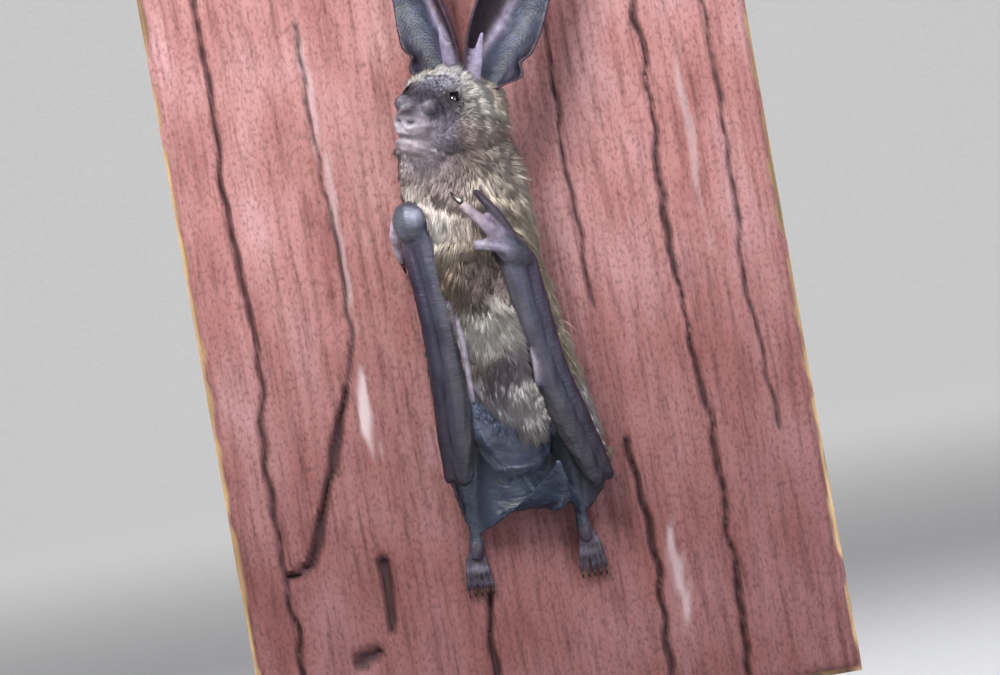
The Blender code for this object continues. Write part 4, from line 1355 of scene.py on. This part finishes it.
def draw_into_locks(root, middle, tip):
    """Draws every hair towards the nearest of a set of leaders. Returns middles, tips and the leaders."""
    leaders = chance.choice(len(root), len(root) // HAIRS_TO_A_LOCK, replace=False)
    nearest = leaders[nearest_of(root[leaders], root)]
    pull = 0.55 * chance.uniform(0.6, 1.1, len(root))[:, None]
    pull = pull * (np.linalg.norm(root[nearest] - root, axis=1, keepdims=True) < 1.6)
    tip = tip + (tip[nearest] - tip) * pull
    middle = middle + (middle[nearest] - middle) * pull * 0.45
    for places, clearance in ((middle, 0.12), (tip, 0.08)):
        places[:, 1] = np.minimum(places[:, 1], -clearance)
        # The coat stops short of the right wing's outer edge.
        beside_wing = (places[:, 2] < 16.0) & (places[:, 2] > -18.0)
        places[beside_wing, 0] = np.maximum(places[beside_wing, 0], -10.6)
    return middle, tip, nearest


def hair_colours(root, middle, fuzz, nearest):
    """Colours of each hair's seven points: dark at the root, pale at the tip, and alike within a lock."""
    mottle = (1.0 + 0.28 * wander(root, 1.6, 91))[:, None]
    fuzz_colour = linear(FUZZ_TINT) * mottle
    base = marking_colour(middle) * (1.0 - fuzz[:, None]) + fuzz_colour * fuzz[:, None]
    lock_shade = 1.0 + 0.16 * chance.standard_normal(len(root))[nearest]
    shade = np.clip(lock_shade * (1.0 + 0.1 * chance.standard_normal(len(root))), 0.55, 1.5)[:, None]
    base = base * (0.99, 0.99, 1.07)
    dark = base * 0.45 + linear(ROOT_TINT) * 0.3
    along_hair = [dark * shade] * 3 + [base * 1.15 * shade] * 3 + [base * 1.5 * shade]
    return np.stack(along_hair, axis=1).clip(0.0, 0.93)


def hair_width(root):
    """Finer on the head than on the body, and finest on the face."""
    on_the_head = head_share(root)
    return HAIR_WIDTH - 0.02 * on_the_head - 0.03 * smooth_step(on_head(root)[:, 0], 2.0, 5.0) * on_the_head


def grow_coat(furred):
    """The whole coat. Hairs lie along the flow, and each leans towards the tip of its lock."""
    root, normal, depth, to_bare = grow_roots(furred, hair_density)
    fuzz = fur_ends(root, normal)
    length = coat_length(root, to_bare, fuzz) * chance.uniform(0.75, 1.2, len(root))
    against_board = smooth_step(normal[:, 1], 0.2, 0.8)
    rise = np.clip(depth / np.maximum(length, 0.5), 0.06, 0.5) * (1.0 - 0.7 * against_board)
    rise *= chance.uniform(0.6, 1.25, len(root))
    flow = lie_of(root, normal)
    tip = root + length[:, None] * unit(flow + normal * rise[:, None])
    middle = root + 0.5 * length[:, None] * unit(flow + normal * (rise * 1.5)[:, None])
    middle, tip, nearest = draw_into_locks(root, middle, tip)
    width = hair_width(root) * chance.uniform(0.8, 1.2, len(root))
    root = root - normal * 0.12
    colours = hair_colours(root, middle, fuzz, nearest)
    along_hair = unit(tip - root)
    across = unit(np.cross(along_hair, normal))
    above = np.cross(across, along_hair)
    region = region_of(root, normal)
    for index, name in enumerate(COAT_REGIONS):
        mine = np.flatnonzero(region == index)
        mine = mine[np.argsort(-root[mine, 2], kind="stable")]
        parts = np.array_split(mine, math.ceil(len(mine) / MOST_HAIRS))
        for number, part in enumerate(parts):
            label = f"_{number + 1}" if len(parts) > 1 else ""
            picks = (root, middle, tip, across, above, width, colours)
            hair_mesh("coat_" + name + label, *(values[part] for values in picks))


# ---------------------------------------------------------------- eyes and claws


def make_eyes():
    for side in SIDES:
        deselect()
        place = {"radius": EYE_RADIUS * MM, "location": Vector(world(eye_centre(side)))}
        bpy.ops.mesh.primitive_uv_sphere_add(segments=32, ring_count=20, **place)
        eye = bpy.context.object
        eye.name = "eyeball_" + side
        bpy.ops.object.transform_apply(location=True, rotation=True, scale=True)
        eye.data.shade_smooth()
        dress(eye, "eye", [EYE], "eye_" + side)


def make_thumb_claws():
    """The horn of the thumbs, drawn back in from the swelling that remeshing needs."""
    for side in SIDES:
        claw = fused_copy("claw_thumb_" + side, ["thumb_claw_" + side], CLAW_VOXEL, 3)
        set_places(claw, places_of(claw) - normals_of(claw) * (INFLATE - 0.05))
        dress(claw, "claw", [CLAW], "thumb_claw_" + side)


# ---------------------------------------------------------------- board and stand


# Cracks in the board's face: points (x, z), half-width, depth
CRACKS = [
    ([(-36.0, 80.0), (-36.1, 44.8), (-36.8, 24.0), (-35.8, 4.4), (-37.8, -13.1), (-37.4, -38.6),
      (-38.0, -58.0)], 0.22, 0.9),
    ([(-22.3, 51.3), (-21.6, 21.3), (-21.5, 4.9), (-23.8, -3.6)], 0.14, 0.35),
    ([(-23.8, -3.6), (-26.5, -11.5), (-29.5, -19.1), (-33.4, -28.8), (-36.9, -29.9)], 0.5, 1.6),
    ([(-22.6, -30.0), (-23.2, -36.6), (-23.6, -40.0)], 0.75, 1.4),
    ([(-25.6, -43.0), (-28.4, -44.0)], 0.9, 1.3),
    ([(-8.4, -36.8), (-8.8, -42.0), (-9.3, -58.0)], 0.35, 1.2),
    ([(14.5, 82.0), (15.0, 50.0), (13.8, 22.0), (14.6, 2.0)], 0.16, 0.6),
    ([(15.8, -18.0), (17.2, -34.0), (16.4, -58.0)], 0.3, 1.1),
    ([(27.5, 82.0), (28.4, 40.0), (27.2, 8.0), (28.8, -22.0), (28.0, -58.0)], 0.26, 1.0),
    ([(37.8, 60.0), (38.4, 30.0), (37.4, 2.0), (38.6, -20.0)], 0.15, 0.5),
    ([(-4.0, 82.0), (-5.2, 66.0), (-4.6, 48.0)], 0.2, 0.7),
]
# Rubbed places, two of them a painted highlight along the right edge of the seam at x = -22: middle (x, z),
# half-size, strength
RUBS_AND_SHEEN = [
    ((-21.6, -7.0), (1.1, 8.0), 0.85),
    # painted highlight along the seam's right edge, in two strips
    ((-20.9, 20.0), (0.7, 18.0), 0.4),
    ((-21.6, 42.0), (0.8, 12.0), 0.4),
    ((20.0, -40.0), (1.2, 8.0), 0.5),
    ((33.0, 25.0), (0.9, 14.0), 0.35),
]
BOARD_RIM = 1.2  # the band along front and back that takes the rounding
FACE_DEPTH = 0.12  # of the paint, at its lowest grain


def board_blank():
    """A fine grid for the face, drawn back to the board's thickness."""
    width, depth, height = BOARD_SIZE
    deselect()
    bpy.ops.mesh.primitive_grid_add(x_subdivisions=250, y_subdivisions=148, size=1.0)
    board = bpy.context.object
    board.name = "painted_board"
    enter_edit(board)
    bpy.ops.transform.resize(value=(width * MM, height * MM, 1.0))
    bpy.ops.transform.rotate(value=math.pi / 2, orient_axis="X", center_override=(0.0, 0.0, 0.0))
    bpy.ops.transform.translate(value=(0.0, 0.0, (WAIST_HEIGHT - BOARD_BELOW_WAIST + height / 2) * MM))
    for step in (BOARD_RIM, depth - 2.0 * BOARD_RIM, BOARD_RIM):
        bpy.ops.mesh.extrude_region_move(TRANSFORM_OT_translate={"value": (0.0, step * MM, 0.0)})
    bpy.ops.mesh.select_all(action="SELECT")
    bpy.ops.mesh.normals_make_consistent(inside=False)
    leave_edit()
    return board


def carve_cracks(points, face):
    """How cracked each point of the board is, and how deep it lies for it."""
    crack = np.zeros(len(points))
    sunk = np.zeros(len(points))
    flat = points[:, (0, 2)]
    for line, half, deep in CRACKS:
        path = along(line, 40 * len(line))
        path[:, 0] += wander(np.column_stack((path, path[:, 1])), 5.0, len(line)) * 0.35
        near = np.flatnonzero((face > 0) & (np.abs(flat[:, 0] - path[:, 0].mean()) < 12.0))
        gap = np.full(len(near), 99.0)
        for start in range(0, len(near), 4000):
            block = slice(start, start + 4000)
            gap[block] = np.linalg.norm(flat[near[block], None, :] - path[None, :, :], axis=2).min(axis=1)
        broad = half * (1.0 + 0.5 * wander(points[near], 4.0, 31))
        here = 1.0 - smooth_step(gap, broad * 0.4, broad + 0.42)
        crack[near] = np.maximum(crack[near], here)
        sunk[near] = np.maximum(sunk[near], here * deep)
    return crack, sunk


def rubbed_and_sheen(points):
    """How rubbed each point of the board is, with the painted highlight along the seam."""
    x, _, z = points.T
    rub_and_sheen = np.zeros(len(points))
    for (middle_x, middle_z), (half_x, half_z), strength in RUBS_AND_SHEEN:
        worn_and_painted_light = np.exp(-(((x - middle_x) / half_x) ** 2) - ((z - middle_z) / half_z) ** 2)
        ragged = worn_and_painted_light + 0.28 * wander(points * (1.0, 1.0, 0.35), 1.1, 44)
        rub_and_sheen = np.maximum(rub_and_sheen, smooth_step(ragged, 0.3, 0.9) * (worn_and_painted_light > 0.05) * strength)
    return rub_and_sheen


def build_board():
    """The cut length of wall board, cracked, worn at its edges and rubbed, with a painted highlight along a
    seam. Its tint is its paint's masks.
    """
    width, depth, height = BOARD_SIZE
    board = board_blank()
    points = places_of(board)
    x, y, z = points.T
    face = smooth_step(-y, -0.6, 0.0)
    back = smooth_step(y, depth - 0.6, depth)
    crack, sunk = carve_cracks(points, face)
    furrow = np.column_stack((x, x * 0.0, z * 0.04))
    grain = 0.12 * wander(furrow, 1.6, 41) + 0.1 * wander(furrow, 3.7, 42)
    relief = sunk + FACE_DEPTH + np.clip(grain, -FACE_DEPTH, 0.4)
    above_foot = z + BOARD_BELOW_WAIST
    edge = np.minimum(width / 2 - np.abs(x), np.minimum(above_foot, height - BOARD_BELOW_WAIST - z))
    rounding = 0.9 * (1.0 - smooth_step(edge, 0.0, 1.4)) * (1.0 + 0.4 * wander(points, 5.0, 43))
    rough_back = FACE_DEPTH + 0.5 * np.clip(grain, -0.1, 0.3)
    points[:, 1] += (relief + rounding) * face - (rough_back + rounding) * back
    chipped = smooth_step(rounding + 0.25 * wander(points, 3.0, 45), 0.45, 0.75)
    bare = np.maximum(1.0 - face, chipped * face)
    set_places(board, points)
    set_tint(board, np.clip(np.column_stack((crack * 0.95, bare, rubbed_and_sheen(points))), 0.0, 1.0))
    board.data.shade_smooth()
    board.data.set_sharp_from_angle(angle=math.radians(50.0))
    dress(board, "painted_board", [make_board_material()], "perch_board")


CORNER_RADIUS = 12.0
EASED_EDGE = 1.6


def build_base():
    """The plinth: a lacquered block with round corners and an eased top edge."""
    width, depth, height = BASE_SIZE
    deselect()
    bpy.ops.mesh.primitive_cube_add(size=1.0, location=(0.0, 0.0, 0.0))
    base = bpy.context.object
    base.name = "plinth"
    enter_edit(base)
    bpy.ops.transform.resize(value=(width * MM, depth * MM, height * MM))
    bpy.ops.transform.translate(value=(0.0, 0.0, height / 2 * MM))
    bpy.ops.mesh.select_all(action="DESELECT")
    leave_edit()
    for edge in base.data.edges:
        low, high = (base.data.vertices[i].co for i in edge.vertices)
        edge.select = abs(low.z - high.z) > height / 2 * MM
    enter_edit(base)
    bpy.ops.mesh.bevel(offset=CORNER_RADIUS * MM, segments=12)
    leave_edit()
    sharp = {"limit_method": "ANGLE", "angle_limit": math.radians(50.0)}
    finish_with(base, "BEVEL", width=EASED_EDGE * MM, segments=4, **sharp)
    base.data.shade_smooth()
    base.data.set_sharp_from_angle(angle=math.radians(35.0))
    dress(base, "stand_base", [make_lacquer_material()], "stand_base")


# Radius and height above the rod's foot, with the collar below and the head above
ROD_PROFILE = [
    (0.0, 0.0), (5.7, 0.0), (6.0, 0.3), (6.0, 3.0), (5.8, 3.5), (5.2, 3.9), (3.4, 4.1), (3.0, 4.6),
    (3.0, 26.6), (3.3, 27.0), (4.5, 27.3), (4.8, 27.6), (4.8, 29.2), (4.6, 29.4), (0.0, 29.4),
]
ROD_BESIDE = 27.0
ROD_BEHIND = 9.5
ROD_FOOT = 10.3  # above the floor


def build_rods():
    """Each rod is a profile spun round its axis, with its collar and head turned from the same bar."""
    steel = make_steel_material()
    for side in SIDES:
        mesh = bpy.data.meshes.new("rod_" + side)
        rod = new_piece("rod_" + side, mesh)
        centre = np.array((OUTWARD[side] * ROD_BESIDE, ROD_BEHIND, ROD_FOOT - WAIST_HEIGHT))
        verts = [Vector(p) for p in world(np.array([(r, 0.0, z) for r, z in ROD_PROFILE]) + centre)]
        mesh.from_pydata(verts, [(i, i + 1) for i in range(len(verts) - 1)], [])
        enter_edit(rod, "SELECT")
        bpy.ops.mesh.spin(steps=40, angle=math.tau, center=Vector(world(centre)), axis=(0.0, 0.0, 1.0))
        bpy.ops.mesh.select_all(action="SELECT")
        bpy.ops.mesh.remove_doubles(threshold=0.01 * MM)
        bpy.ops.mesh.normals_make_consistent(inside=False)
        leave_edit()
        mesh.shade_smooth()
        mesh.set_sharp_from_angle(angle=math.radians(40.0))
        dress(rod, "stand_rod", [steel], "stand_rod_" + side)


# ---------------------------------------------------------------- making it all


place_camera()
light_studio()
make_studio()
build_base()
build_rods()
build_board()
furred = build_skin()
for side in SIDES:
    build_toe_claws(side)
make_eyes()
make_thumb_claws()
grow_coat(furred)
